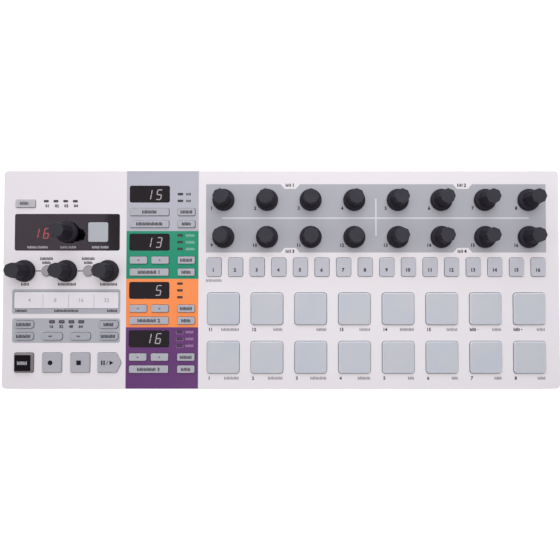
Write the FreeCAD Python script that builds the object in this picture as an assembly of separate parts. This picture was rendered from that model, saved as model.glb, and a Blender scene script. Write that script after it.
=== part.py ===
import FreeCAD, Part
import math
import os
from FreeCAD import Vector

# Desktop step sequencer, in millimetres.
# The origin lies on the table under the middle of the case: X to the right, Y to the rear, Z up.

# Case; its length and depth follow from the rows and columns of controls below
case_height = 19.3  # from the table to the top of the panel
case_corner_radius = 3.0
wall_thickness = 2.0
panel_thickness = 1.5
panel_edge_chamfer = 0.8
base_thickness = 1.2
foot_height = 2.0
foot_radius = 6.0
foot_inset = 22.0  # from the case's sides to the middle of a foot
assembly_gap = 0.2  # between pieces that drop into one another
seat_gap = 0.3  # between a moving piece and what stops or carries it
shoulder_size = 10.0  # square shoulder in each corner of the frame, which carries the board
post_size = 6.0  # square post above the shoulder, up to the panel
rear_return_length = 14.0  # how far the frame turns in at the rear corners
touching = 0.01  # lines closer than this coincide

# Flats that stand for a curve on what is small and repeats
knob_skirt_flats = 16
corner_flats = 2
spindle_flats = 8
socket_flats = 10
button_flats = 16
foot_flats = 16

# Board, hung below the panel by the height of its encoders, and what stands on it
board_thickness = 1.6
board_side_gap = 1.0
encoder_size = 12.4
encoder_height = 6.2
encoder_clearance = 0.6  # from an encoder to the windows' lips above it
sheet_thickness = 0.8  # force-sensing sheet under a row of pads
mat_clearance = 0.2  # left under a key or a pad at the end of its travel
mat_margin = 1.0

# Field of sixteen knobs, sixteen step keys and sixteen pads, from the rear of the case to the front
field_columns = 8
column_pitch = 32.35
knob_row_pitch = 27.6
knob_to_step_row = 22.35
step_to_pad_row = 30.9
pad_row_pitch = 35.83
jack_to_encoder_gap = 1.0  # from the rear sockets to the encoders of the first row

# Knobs, on the spindles of their encoders
knob_height = 15.6  # from the panel to the top of the grip
knob_skirt_gap = 0.6  # from the panel to the underside of the skirt
knob_skirt_radius = 8.0
knob_skirt_edge = 0.7
knob_neck_height = 3.3  # from the underside to the top of the flare
knob_neck_radius = 6.0
knob_sides = 8
knob_grip_base_radius = 5.5  # to the flats of the grip
knob_grip_top_radius = 4.9
spindle_radius = 3.0
spindle_gap = 0.45  # round the spindle in the panel

# Pads
pad_size = 23.6
pad_corner_radius = 2.2
pad_rise = 1.2  # above the panel
pad_travel = 0.8
pad_gap = 0.3  # round a pad in the panel
pad_flange_margin = 1.2
pad_flange_thickness = 1.2
pad_plunger_size = 15.0

# Keys
key_rise = 0.9  # above the panel
key_travel = 0.7
key_gap = 0.25  # round a key in the panel
key_flange_margin = 0.7
key_flange_thickness = 1.0

step_key_count = 16
step_key_size = (10.7, 13.8)
step_row_overhang = 0.55  # how far the row of step keys reaches past the pads at each end

# Columns across the case, each from the one on its left
left_margin = 16.45  # from the case's left side to the first column of keys
left_columns = 4
left_column_pitch = 20.8
left_to_track_windows = 29.8
track_windows_to_side_keys = 27.45
side_keys_to_field = 27.525
right_margin = 22.725  # from the last column of pads to the case's right side

# Rows of the left-hand block, each from the one in front of it
transport_row_margin = 19.35  # from the front of the case
transport_to_link_row = 19.45
link_row_pitch = 8.7
link_row_to_strip = 17.95
strip_to_small_knobs = 21.65
small_knobs_to_tempo_window = 28.75
tempo_window_to_sync_row = 21.25

# Left-hand block; offsets in X are from the middle of its columns
transport_key_size = 14.4
play_key_left = 7.85  # from the middle of the play key's column to its left side
play_key_body = 13.9  # length of the square part of the play key
play_key_point = 3.5  # length of its point
shift_key_rise = 2.1  # from the panel to the top of its tapered cap
shift_key_shoulder = 0.4  # height of the cap's upright sides above the panel
shift_key_top = 11.8  # length and width of its top
link_key_size = (14.2, 5.6)
arrow_key_size = (15.1, 5.6)
sync_key_size = (14.6, 5.6)
small_knob_offset = -0.35
small_knob_pitch = 30.95
track_button_radius = 3.85
track_button_offset = 16.15  # from a small knob to the round button on its right
tempo_window_offset = -0.15
tempo_window_size = (77.6, 26.9)
tempo_knob_offset = 0.15
tap_key_offset = 22.95
tap_key_size = 14.6
strip_offset = -0.45
strip_size = (77.4, 12.1)

# Column of four tracks, each a window with two rows of keys in front of it
track_count = 4
track_rear_margin = 17.5  # from the rear of the case to the first window
track_front_margin = 14.51  # from the last row of keys to the front of the case
window_to_key_row = 13.4
track_key_row_pitch = 8.9
key_row_to_next_window = 13.53
track_window_size = (29.5, 12.2)
track_side_key_width = 12.7
track_wide_key_width = 28.8
track_arrow_gap = 3.3  # between the two arrow keys, which are as wide together as the wide key
track_key_height = 5.4

# Windows, digits and status lights
window_lip = 1.5
window_lip_thickness = 1.0
window_recess = 0.1
digit_block_size = (21.6, 11.0)
tempo_digit_offset = -18.25  # from the middle of the left-hand block
light_pitch = 7.2
light_lift = 1.9  # how far the sync and link lights lie behind the middle of their row of keys
sync_light_offset = -16.05  # first light, from the middle of the left-hand block
sync_light_size = (3.4, 1.6)
link_light_offset = -10.85
link_light_size = (4.1, 2.2)
track_light_offset = 22.75  # from the middle of a track's window
track_light_pitch = 5.05
track_light_size = (3.9, 1.6)
light_gap = 0.1
light_recess = 0.05

# Rear sockets, numbered from the right-hand end of the case
jack_group_counts = (2, 2, 3, 3, 8)
jack_group_space = 8.0  # between groups, on top of the pitch
jack_to_usb = 18.0
jack_to_digit_gap = 4.95  # from the last socket to the digits of the first track
jack_width = 8.0
jack_height = 6.0
jack_depth = 12.6
jack_bore_radius = 1.8
jack_end_wall = 0.4
jack_nose_radius = 2.8  # round front of a socket, flush with the panel's outer face
jack_panel_gap = 0.1
usb_margin = 30.4  # from the case's right side
usb_shell_size = (7.6, 5.8, 2.8)
usb_shell_wall = 0.3
usb_tongue_size = (4.0, 3.6, 0.7)
usb_panel_gap = 0.35
lock_slot_margin = 18.9  # from the case's right side
lock_slot_size = (7.0, 3.0)

# Case, as long as its columns and as deep as its tracks
left_block_length = (left_columns - 1) * left_column_pitch
field_length = (field_columns - 1) * column_pitch
gaps_between_blocks = left_to_track_windows + track_windows_to_side_keys + side_keys_to_field
case_length = left_margin + left_block_length + gaps_between_blocks + field_length + right_margin
half_length = case_length / 2
track_pitch = window_to_key_row + track_key_row_pitch + key_row_to_next_window
last_window_to_front = window_to_key_row + track_key_row_pitch + track_front_margin
case_depth = track_rear_margin + (track_count - 1) * track_pitch + last_window_to_front
half_depth = case_depth / 2

# Columns
first_left_x = left_margin - half_length
left_middle_x = first_left_x + left_block_length / 2
track_window_x = first_left_x + left_block_length + left_to_track_windows
track_side_key_x = track_window_x + track_windows_to_side_keys
first_field_x = track_side_key_x + side_keys_to_field
field_centre_x = first_field_x + field_length / 2

# Rows
jack_front_y = half_depth - wall_thickness - jack_panel_gap
jack_bore_depth = half_depth - jack_front_y + jack_depth - jack_end_wall
rear_knob_y = jack_front_y - jack_depth - jack_to_encoder_gap - encoder_size / 2
step_key_y = rear_knob_y - knob_row_pitch - knob_to_step_row
rear_pad_y = step_key_y - step_to_pad_row
transport_key_y = transport_row_margin - half_depth
link_row_y = transport_key_y + transport_to_link_row
strip_y = link_row_y + link_row_pitch + link_row_to_strip
small_knob_y = strip_y + strip_to_small_knobs
tempo_y = small_knob_y + small_knobs_to_tempo_window
sync_row_y = tempo_y + tempo_window_to_sync_row
first_track_y = half_depth - track_rear_margin

# Levels
panel_bottom = case_height - panel_thickness
window_bottom = panel_bottom - window_lip_thickness
encoder_top = window_bottom - encoder_clearance
board_top = encoder_top - encoder_height
board_bottom = board_top - board_thickness
sheet_top = board_top + sheet_thickness
key_flange_top = panel_bottom - seat_gap
tap_flange_top = window_bottom - seat_gap
pad_flange_top = panel_bottom - seat_gap
base_top = foot_height + base_thickness
inner_x = half_length - wall_thickness
inner_y = half_depth - wall_thickness
jack_z = board_top + jack_height / 2
rear_middle_z = (foot_height + panel_bottom) / 2
usb_x = half_length - usb_margin
lock_slot_x = half_length - lock_slot_margin


# Outlines and blocks

def rectangle(centre, size, z, radius=0.0):
    half_x = size[0] / 2
    half_y = size[1] / 2
    corners = ((-1, -1), (1, -1), (1, 1), (-1, 1))
    if radius <= 0:
        points = []
        for side_x, side_y in corners:
            points.append(Vector(centre[0] + side_x * half_x, centre[1] + side_y * half_y, z))
        return Part.makePolygon(points + points[:1])
    edges = []
    arcs = []
    reach = radius * math.sqrt(0.5)
    for side_x, side_y in corners:
        middle_x = centre[0] + side_x * (half_x - radius)
        middle_y = centre[1] + side_y * (half_y - radius)
        on_side = Vector(middle_x + side_x * radius, middle_y, z)
        on_end = Vector(middle_x, middle_y + side_y * radius, z)
        bulge = Vector(middle_x + side_x * reach, middle_y + side_y * reach, z)
        ends = (on_side, on_end) if side_x * side_y > 0 else (on_end, on_side)
        arcs.append((ends[0], bulge, ends[1]))
    for index, arc in enumerate(arcs):
        edges.append(Part.Arc(*arc).toShape())
        following = arcs[(index + 1) % len(arcs)]
        edges.append(Part.LineSegment(arc[2], following[0]).toShape())
    return Part.Wire(edges)


def polygon_points(centre, sides, radius, z):
    """Corners of a regular polygon drawn round a circle of the given radius."""
    corner_radius = radius / math.cos(math.pi / sides)
    points = []
    for index in range(sides):
        angle = math.pi * (2 * index + 1) / sides
        x = centre[0] + corner_radius * math.cos(angle)
        y = centre[1] + corner_radius * math.sin(angle)
        points.append(Vector(x, y, z))
    return points


def polygon(centre, sides, radius, z):
    points = polygon_points(centre, sides, radius, z)
    return Part.makePolygon(points + points[:1])


def frustum(centre, sides, low_radius, high_radius, low, high):
    """A tapered solid with flat sides, from one regular polygon up to another."""
    lower = polygon_points(centre, sides, low_radius, low)
    upper = polygon_points(centre, sides, high_radius, high)
    loops = [lower, upper]
    for index in range(sides):
        following = (index + 1) % sides
        loops.append([lower[index], lower[following], upper[following], upper[index]])
    faces = [Part.Face(Part.makePolygon(loop + loop[:1])) for loop in loops]
    return Part.makeSolid(Part.makeShell(faces))


def flat_cornered(centre, size, z, radius):
    """A rectangle with each round corner drawn as a few flats."""
    points = []
    for turn, (side_x, side_y) in enumerate(((1, 1), (-1, 1), (-1, -1), (1, -1))):
        middle_x = centre[0] + side_x * (size[0] / 2 - radius)
        middle_y = centre[1] + side_y * (size[1] / 2 - radius)
        for step in range(corner_flats + 1):
            angle = math.pi / 2 * (turn + step / corner_flats)
            x = middle_x + radius * math.cos(angle)
            y = middle_y + radius * math.sin(angle)
            points.append(Vector(x, y, z))
    return Part.makePolygon(points + points[:1])


def raised(wires, height):
    face = Part.makeFace(wires, "Part::FaceMakerBullseye")
    return face.extrude(Vector(0, 0, height))


def block(centre, size, low, high, radius=0.0):
    return raised([rectangle(centre, size, low, radius)], high - low)


def grown(size, margin):
    return (size[0] + 2 * margin, size[1] + 2 * margin)


def joined(solids):
    return solids[0].fuse(solids[1:]).removeSplitter()


def save(name, solids):
    shape = solids[0] if len(solids) == 1 else Part.makeCompound(solids)
    shape.exportStep(os.path.join("parts", name + ".step"))


# Places of the knobs, pads and keys

def field_column_x(column):
    return first_field_x + column * column_pitch


def left_x(column):
    return first_left_x + column * left_column_pitch


field_knob_places = []
pad_places = []
for row in range(2):
    for column in range(field_columns):
        field_knob_places.append((field_column_x(column), rear_knob_y - row * knob_row_pitch))
        pad_places.append((field_column_x(column), rear_pad_y - row * pad_row_pitch))

small_knob_places = []
for column in range(3):
    knob_x = left_middle_x + small_knob_offset + (column - 1) * small_knob_pitch
    small_knob_places.append((knob_x, small_knob_y))
tempo_knob_place = (left_middle_x + tempo_knob_offset, tempo_y)
knob_places = field_knob_places + small_knob_places + [tempo_knob_place]

step_row_length = field_length + pad_size + 2 * step_row_overhang
step_key_pitch = (step_row_length - step_key_size[0]) / (step_key_count - 1)
step_key_places = []
for index in range(step_key_count):
    offset = (index - (step_key_count - 1) / 2) * step_key_pitch
    step_key_places.append((field_centre_x + offset, step_key_y))

track_button_places = []
for place in small_knob_places[:2]:
    track_button_places.append((place[0] + track_button_offset, small_knob_y))

# A key is its middle and its size
step_keys = [(place, step_key_size) for place in step_key_places]
link_keys = []
for column in (0, left_columns - 1):
    for row in (1, 0):
        link_keys.append(((left_x(column), link_row_y + row * link_row_pitch), link_key_size))
for column in (1, 2):
    link_keys.append(((left_x(column), link_row_y), arrow_key_size))
transport_size = (transport_key_size, transport_key_size)
transport_places = [(left_x(column), transport_key_y) for column in range(left_columns)]
sync_key = ((left_x(0), sync_row_y), sync_key_size)
tap_key = ((left_middle_x + tap_key_offset, tempo_y), (tap_key_size, tap_key_size))
tempo_window_centre = (left_middle_x + tempo_window_offset, tempo_y)
strip_centre = (left_middle_x + strip_offset, strip_y)


def track_y(track):
    return first_track_y - track * track_pitch


def track_keys_of(track):
    upper_y = track_y(track) - window_to_key_row
    lower_y = upper_y - track_key_row_pitch
    side_size = (track_side_key_width, track_key_height)
    wide_size = (track_wide_key_width, track_key_height)
    arrow_size = ((track_wide_key_width - track_arrow_gap) / 2, track_key_height)
    keys = [((track_side_key_x, upper_y), side_size), ((track_side_key_x, lower_y), side_size)]
    keys.append(((track_window_x, lower_y), wide_size))
    if track == 0:
        keys.append(((track_window_x, upper_y), wide_size))
    else:
        arrow_offset = (arrow_size[0] + track_arrow_gap) / 2
        keys.append(((track_window_x - arrow_offset, upper_y), arrow_size))
        keys.append(((track_window_x + arrow_offset, upper_y), arrow_size))
    return keys


track_keys = []
for track in range(track_count):
    track_keys += track_keys_of(track)

# A light is its middle and its size
sync_light_y = sync_row_y + light_lift
link_light_y = link_row_y + link_row_pitch + light_lift
lights = []
for index in range(4):
    sync_light_x = left_middle_x + sync_light_offset + index * light_pitch
    link_light_x = left_middle_x + link_light_offset + index * light_pitch
    lights.append(((sync_light_x, sync_light_y), sync_light_size))
    lights.append(((link_light_x, link_light_y), link_light_size))
for track in range(track_count):
    steps = (0, -1) if track == 0 else (1, 0, -1)
    for step in steps:
        light_y = track_y(track) + step * track_light_pitch
        lights.append(((track_window_x + track_light_offset, light_y), track_light_size))

track_windows = [(track_window_x, track_y(track)) for track in range(track_count)]
digit_places = track_windows + [(left_middle_x + tempo_digit_offset, tempo_y)]

# Sockets, spread evenly between the USB socket and the digits of the first track
jack_first_x = usb_x - jack_to_usb
jack_last_x = track_window_x + digit_block_size[0] / 2 + jack_to_digit_gap + jack_width / 2
jack_spaces = (len(jack_group_counts) - 1) * jack_group_space
jack_pitch = (jack_first_x - jack_last_x - jack_spaces) / (sum(jack_group_counts) - 1)
jack_places = []
jack_x = jack_first_x
for count in jack_group_counts:
    for index in range(count):
        jack_places.append(jack_x)
        jack_x -= jack_pitch
    jack_x -= jack_group_space


# Play key: a square with a point on its right

def play_outline(z, margin=0.0):
    centre_x, centre_y = transport_places[3]
    left = centre_x - play_key_left
    shoulder = left + play_key_body
    half = transport_key_size / 2
    slope = math.hypot(half, play_key_point)
    shoulder_shift = margin * (slope - play_key_point) / half
    point_shift = margin * slope / half
    points = [
        Vector(left - margin, centre_y - half - margin, z),
        Vector(shoulder + shoulder_shift, centre_y - half - margin, z),
        Vector(shoulder + play_key_point + point_shift, centre_y, z),
        Vector(shoulder + shoulder_shift, centre_y + half + margin, z),
        Vector(left - margin, centre_y + half + margin, z),
    ]
    return Part.makePolygon(points + points[:1])


# Top panel: one plate with an opening for each thing that comes through it

def make_top_panel():
    holes = []
    for place in field_knob_places + small_knob_places:
        holes.append(polygon(place, spindle_flats, spindle_radius + spindle_gap, panel_bottom))
    for place in pad_places:
        opening = grown((pad_size, pad_size), pad_gap)
        holes.append(flat_cornered(place, opening, panel_bottom, pad_corner_radius + pad_gap))
    for place, size in step_keys + link_keys + track_keys + [sync_key]:
        holes.append(rectangle(place, grown(size, key_gap), panel_bottom))
    for place in transport_places[:3]:
        holes.append(rectangle(place, grown(transport_size, key_gap), panel_bottom))
    holes.append(play_outline(panel_bottom, key_gap))
    for place in track_button_places:
        holes.append(polygon(place, button_flats, track_button_radius + key_gap, panel_bottom))
    for place, size in lights:
        holes.append(rectangle(place, grown(size, light_gap), panel_bottom))
    for place in track_windows:
        holes.append(rectangle(place, grown(track_window_size, assembly_gap), panel_bottom))
    holes.append(rectangle(tempo_window_centre, grown(tempo_window_size, assembly_gap), panel_bottom))
    holes.append(rectangle(strip_centre, grown(strip_size, assembly_gap), panel_bottom))
    outer = rectangle((0, 0), (case_length, case_depth), panel_bottom, case_corner_radius)
    panel = raised([outer] + holes, panel_thickness)
    rim = []
    for edge in panel.Edges:
        box = edge.BoundBox
        at_top = box.ZMin > case_height - touching
        at_side = max(abs(box.XMin), abs(box.XMax)) > half_length - case_corner_radius - touching
        at_end = max(abs(box.YMin), abs(box.YMax)) > half_depth - case_corner_radius - touching
        if at_top and (at_side or at_end):
            rim.append(edge)
    return panel.makeChamfer(panel_edge_chamfer, rim)


# Frame: side walls with a shoulder and a post in each corner, open at the rear

def corner_block(side_x, side_y, size, low, high):
    """A square block in a corner, from half-way into the walls to its size inside them."""
    reach = size + wall_thickness / 2
    middle_x = side_x * (inner_x - size + reach / 2)
    middle_y = side_y * (inner_y - size + reach / 2)
    return block((middle_x, middle_y), (reach, reach), low, high)


def make_case_frame():
    plan = (case_length, case_depth)
    outer = rectangle((0, 0), plan, foot_height, case_corner_radius)
    inner = rectangle((0, 0), (2 * inner_x, 2 * inner_y), foot_height)
    ring = raised([outer, inner], panel_bottom - foot_height)
    rear_width = 2 * (half_length - rear_return_length)
    rear = block((0, half_depth), (rear_width, 4 * wall_thickness), 0, case_height)
    corners = []
    for side_x in (-1, 1):
        for side_y in (-1, 1):
            corners.append(corner_block(side_x, side_y, shoulder_size, base_top, board_bottom))
            corners.append(corner_block(side_x, side_y, post_size, board_bottom, panel_bottom))
    frame = joined([ring.cut([rear])] + corners)
    return frame.common(block((0, 0), plan, 0, case_height, case_corner_radius))


# Base: a steel sheet inside the frame, on four rubber feet

def make_base():
    plan = (2 * (inner_x - assembly_gap), 2 * (inner_y - assembly_gap))
    return block((0, 0), plan, foot_height, base_top)


def make_feet():
    feet = []
    for side_x in (-1, 1):
        for side_y in (-1, 1):
            place = (side_x * (half_length - foot_inset), side_y * (half_depth - foot_inset))
            feet.append(raised([polygon(place, foot_flats, foot_radius, 0)], foot_height))
    return feet


# Rear: a plate with a hole for each socket

def jack_bar(place, radius, length, rear_y):
    bar = raised([polygon((0, 0), socket_flats, radius, 0)], length)
    bar.rotate(Vector(0, 0, 0), Vector(1, 0, 0), 90)
    bar.translate(Vector(place, rear_y, jack_z))
    return bar


def make_rear_panel():
    length = 2 * (half_length - rear_return_length - assembly_gap)
    middle = (0, half_depth - wall_thickness / 2)
    plate = block(middle, (length, wall_thickness), foot_height, panel_bottom)
    hole_radius = jack_nose_radius + seat_gap
    hole_rear_y = half_depth + wall_thickness / 2
    holes = []
    for place in jack_places:
        holes.append(jack_bar(place, hole_radius, 2 * wall_thickness, hole_rear_y))
    usb_opening = (usb_shell_size[0] + 2 * usb_panel_gap, 4 * wall_thickness)
    usb_low = board_top - usb_panel_gap
    usb_high = board_top + usb_shell_size[2] + usb_panel_gap
    holes.append(block((usb_x, half_depth), usb_opening, usb_low, usb_high))
    slot_low = rear_middle_z - lock_slot_size[1] / 2
    slot_plan = (lock_slot_size[0], 4 * wall_thickness)
    holes.append(block((lock_slot_x, half_depth), slot_plan, slot_low, slot_low + lock_slot_size[1]))
    return plate.cut(holes)


def make_jacks():
    jacks = []
    for place in jack_places:
        middle = (place, jack_front_y - jack_depth / 2)
        body = block(middle, (jack_width, jack_depth), board_top, board_top + jack_height)
        nose = jack_bar(place, jack_nose_radius, half_depth - jack_front_y, half_depth)
        start = Vector(place, half_depth - jack_bore_depth, jack_z)
        bore = Part.makeCylinder(jack_bore_radius, 2 * jack_bore_depth, start, Vector(0, 1, 0))
        jacks.append(joined([body, nose]).cut([bore]))
    return jacks


def make_usb_socket():
    width, depth, height = usb_shell_size
    front = half_depth - usb_panel_gap
    shell = block((usb_x, front - depth / 2), (width, depth), board_top, board_top + height)
    hollow_size = (width - 2 * usb_shell_wall, depth)
    hollow_low = board_top + usb_shell_wall
    hollow_high = board_top + height - usb_shell_wall
    hollow = block((usb_x, front - depth / 2 + usb_shell_wall), hollow_size, hollow_low, hollow_high)
    tongue_low = board_top + (height - usb_tongue_size[2]) / 2
    tongue_reach = usb_tongue_size[1] + usb_shell_wall
    tongue_place = (usb_x, front - depth + tongue_reach / 2)
    tongue_plan = (usb_tongue_size[0], tongue_reach)
    tongue = block(tongue_place, tongue_plan, tongue_low, tongue_low + usb_tongue_size[2])
    return joined([shell.cut([hollow]), tongue])


# Board, notched round the corner posts, with the contact mats and the encoders on it

def rest_under(flange_top):
    """Height of the mat that a key rests above, with room for the key's travel."""
    return flange_top - key_flange_thickness - key_travel - mat_clearance


def make_board():
    reach_x = inner_x - board_side_gap
    reach_y = inner_y - board_side_gap
    plate = block((0, 0), (2 * reach_x, 2 * reach_y), board_bottom, board_top)
    notches = []
    for side_x in (-1, 1):
        for side_y in (-1, 1):
            notch = post_size + assembly_gap
            middle = (side_x * (inner_x - notch / 2), side_y * (inner_y - notch / 2))
            notches.append(block(middle, (notch, notch), 0, case_height))
    return plate.cut(notches)


def mat_under(keys, top):
    low_x = min(place[0] - size[0] / 2 for place, size in keys) - mat_margin
    high_x = max(place[0] + size[0] / 2 for place, size in keys) + mat_margin
    low_y = min(place[1] - size[1] / 2 for place, size in keys) + mat_margin
    high_y = max(place[1] + size[1] / 2 for place, size in keys) - mat_margin
    middle = ((low_x + high_x) / 2, (low_y + high_y) / 2)
    return block(middle, (high_x - low_x, high_y - low_y), board_top, top)


def make_mats():
    """Rubber key mats that reach up to the keys' undersides, and a thin sheet under each row of pads."""
    transport_keys = [(place, transport_size) for place in transport_places]
    groups = [step_keys, transport_keys, [sync_key]]
    groups += [link_keys[0:1], link_keys[2:3], [link_keys[1], link_keys[3]]]
    button_plan = (2 * track_button_radius, 2 * track_button_radius)
    groups += [[(place, button_plan)] for place in track_button_places]
    groups += [track_keys_of(track) for track in range(track_count)]
    mats = [mat_under(group, rest_under(key_flange_top)) for group in groups]
    mats.append(mat_under([tap_key], rest_under(tap_flange_top)))
    for row in range(2):
        row_places = pad_places[row * field_columns:(row + 1) * field_columns]
        mats.append(mat_under([(place, (pad_size, pad_size)) for place in row_places], sheet_top))
    return mats


def make_encoders():
    plan = (encoder_size, encoder_size)
    return [block(place, plan, board_top, encoder_top) for place in knob_places]


# Windows with a lip behind the panel, and the digits under them

def make_windows():
    windows = []
    for place in track_windows:
        pane = block(place, track_window_size, window_bottom, case_height - window_recess)
        lip = block(place, grown(track_window_size, window_lip), window_bottom, panel_bottom)
        windows.append(joined([pane, lip]))
    top = case_height - window_recess
    pane = block(tempo_window_centre, tempo_window_size, window_bottom, top)
    lip = block(tempo_window_centre, grown(tempo_window_size, window_lip), window_bottom, panel_bottom)
    hole_outline = polygon(tempo_knob_place, spindle_flats, spindle_radius + spindle_gap, 0)
    spindle_hole = raised([hole_outline], case_height)
    key_hole = block(tap_key[0], grown(tap_key[1], key_gap), 0, case_height)
    windows.append(joined([pane, lip]).cut([spindle_hole, key_hole]))
    return windows


def make_digits():
    top = window_bottom - seat_gap
    return [block(place, digit_block_size, board_top, top) for place in digit_places]


def make_touch_strip():
    plate = block(strip_centre, strip_size, window_bottom, case_height - window_recess)
    lip = block(strip_centre, grown(strip_size, window_lip), window_bottom, panel_bottom)
    return joined([plate, lip])


def make_lights():
    return [block(place, size, board_top, case_height - light_recess) for place, size in lights]


# Knobs: a flared round skirt under an eight-sided tapered grip, on the encoder's spindle

def make_knob(place):
    bottom = case_height + knob_skirt_gap
    edge_top = bottom + knob_skirt_edge
    neck = bottom + knob_neck_height
    foot = encoder_top + seat_gap
    top = case_height + knob_height
    skirt_edge = raised([polygon(place, knob_skirt_flats, knob_skirt_radius, bottom)], knob_skirt_edge)
    flare = frustum(place, knob_skirt_flats, knob_skirt_radius, knob_neck_radius, edge_top, neck)
    grip = frustum(place, knob_sides, knob_grip_base_radius, knob_grip_top_radius, neck, top)
    spindle = raised([polygon(place, knob_sides, spindle_radius, foot)], bottom - foot)
    return joined([skirt_edge, flare, grip, spindle])


# Pads and keys: a cap through the panel with a flange under it; a pad also has a plunger above its sheet

def make_pad(place):
    plan = (pad_size, pad_size)
    flange_bottom = pad_flange_top - pad_flange_thickness
    outline = flat_cornered(place, plan, flange_bottom, pad_corner_radius)
    cap = raised([outline], case_height + pad_rise - flange_bottom)
    flange = block(place, grown(plan, pad_flange_margin), flange_bottom, pad_flange_top)
    foot = sheet_top + mat_clearance + pad_travel
    plunger = block(place, (pad_plunger_size, pad_plunger_size), foot, flange_bottom)
    return joined([cap, flange, plunger])


def make_key(place, size, flange_top=key_flange_top, rise=key_rise):
    flange_bottom = flange_top - key_flange_thickness
    cap = block(place, size, flange_bottom, case_height + rise)
    flange = block(place, grown(size, key_flange_margin), flange_bottom, flange_top)
    return joined([cap, flange])


def make_shift_key(place):
    key = make_key(place, transport_size, rise=shift_key_shoulder)
    shoulder = case_height + shift_key_shoulder
    top = case_height + shift_key_rise
    taper = frustum(place, 4, transport_key_size / 2, shift_key_top / 2, shoulder, top)
    return joined([key, taper])


def make_play_key():
    flange_bottom = key_flange_top - key_flange_thickness
    cap = raised([play_outline(flange_bottom)], case_height + key_rise - flange_bottom)
    flange = raised([play_outline(flange_bottom, key_flange_margin)], key_flange_thickness)
    return joined([cap, flange])


def make_track_button(place):
    flange_bottom = key_flange_top - key_flange_thickness
    outline = polygon(place, button_flats, track_button_radius, flange_bottom)
    cap = raised([outline], case_height + key_rise - flange_bottom)
    flange_plan = grown((0, 0), track_button_radius + key_flange_margin)
    flange = block(place, flange_plan, flange_bottom, key_flange_top)
    return joined([cap, flange])


os.makedirs("parts", exist_ok=True)
save("top_panel", [make_top_panel()])
save("case_frame", [make_case_frame()])
save("base_plate", [make_base()])
save("rubber_feet", make_feet())
save("rear_panel", [make_rear_panel()])
save("jack_sockets", make_jacks())
save("usb_socket", [make_usb_socket()])
save("main_board", [make_board()])
save("contact_mats", make_mats())
save("encoder_bodies", make_encoders())
save("display_windows", make_windows())
save("digit_modules", make_digits())
save("touch_strip", [make_touch_strip()])
save("status_lights", make_lights())

for index, place in enumerate(field_knob_places):
    save(f"knob_{index + 1:02d}", [make_knob(place)])
for name, place in zip(("swing_knob", "random_knob", "chance_knob"), small_knob_places):
    save(name, [make_knob(place)])
save("tempo_knob", [make_knob(tempo_knob_place)])

for index, place in enumerate(pad_places):
    save(f"pad_{index + 1:02d}", [make_pad(place)])
save("step_keys", [make_key(place, size) for place, size in step_keys])
save("link_keys", [make_key(place, size) for place, size in link_keys])
save("track_keys", [make_key(place, size) for place, size in track_keys])
save("sync_key", [make_key(*sync_key)])
save("track_buttons", [make_track_button(place) for place in track_button_places])
save("shift_key", [make_shift_key(transport_places[0])])
for name, place in zip(("record_key", "stop_key"), transport_places[1:3]):
    save(name, [make_key(place, transport_size)])
save("play_key", [make_play_key()])
save("tap_key", [make_key(*tap_key, tap_flange_top)])
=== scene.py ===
import math
from functools import partial

import bmesh
import bpy
from mathutils import Matrix, Vector


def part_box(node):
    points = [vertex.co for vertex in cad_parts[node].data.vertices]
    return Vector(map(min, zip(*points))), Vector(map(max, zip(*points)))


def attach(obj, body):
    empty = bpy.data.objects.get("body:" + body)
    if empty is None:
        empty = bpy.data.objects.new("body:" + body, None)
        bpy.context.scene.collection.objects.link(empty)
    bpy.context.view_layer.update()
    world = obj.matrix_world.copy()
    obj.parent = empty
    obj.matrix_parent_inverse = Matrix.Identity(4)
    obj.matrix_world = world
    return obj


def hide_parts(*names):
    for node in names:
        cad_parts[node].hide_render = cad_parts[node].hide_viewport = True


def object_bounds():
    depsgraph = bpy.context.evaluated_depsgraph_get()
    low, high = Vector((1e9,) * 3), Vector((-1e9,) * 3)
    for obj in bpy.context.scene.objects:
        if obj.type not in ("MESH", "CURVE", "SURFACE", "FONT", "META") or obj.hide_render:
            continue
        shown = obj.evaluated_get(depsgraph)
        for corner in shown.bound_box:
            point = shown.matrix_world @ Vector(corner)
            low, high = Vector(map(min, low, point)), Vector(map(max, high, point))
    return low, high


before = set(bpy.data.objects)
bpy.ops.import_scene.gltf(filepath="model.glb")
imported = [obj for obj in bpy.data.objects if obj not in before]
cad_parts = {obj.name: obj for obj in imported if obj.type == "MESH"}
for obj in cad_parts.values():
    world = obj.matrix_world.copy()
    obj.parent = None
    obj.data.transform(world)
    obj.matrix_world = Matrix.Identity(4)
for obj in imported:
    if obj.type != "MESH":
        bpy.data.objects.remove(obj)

mm = 0.001
cadLow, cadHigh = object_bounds()
panelBottom, panelTop = [corner.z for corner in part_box("top_panel")]
photoScale = 0.7416 * mm  # one pixel of the photograph, on the panel
photoMiddle = (300.0, 285.0)  # the pixel straight below the lens
lensPlace = (14.0 * mm, -4.4 * mm)
weldReach = 0.002 * mm
levelReach = 0.01 * mm  # heights that lie closer than this are one level


# Small helpers for sizes, objects and edit mode

def lengths(**sizes):  # sizes given in millimetres
    return {name: size * mm for name, size in sizes.items()}


def clearSelection():
    if bpy.context.object and bpy.context.object.mode != "OBJECT":
        bpy.ops.object.mode_set(mode="OBJECT")
    bpy.ops.object.select_all(action="DESELECT")


def choose(piece):
    clearSelection()
    bpy.context.view_layer.objects.active = piece
    piece.select_set(True)


def startEdit(piece):
    choose(piece)
    bpy.ops.object.mode_set(mode="EDIT")
    bpy.ops.mesh.select_all(action="DESELECT")


def endEdit():
    bpy.ops.object.mode_set(mode="OBJECT")


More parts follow.
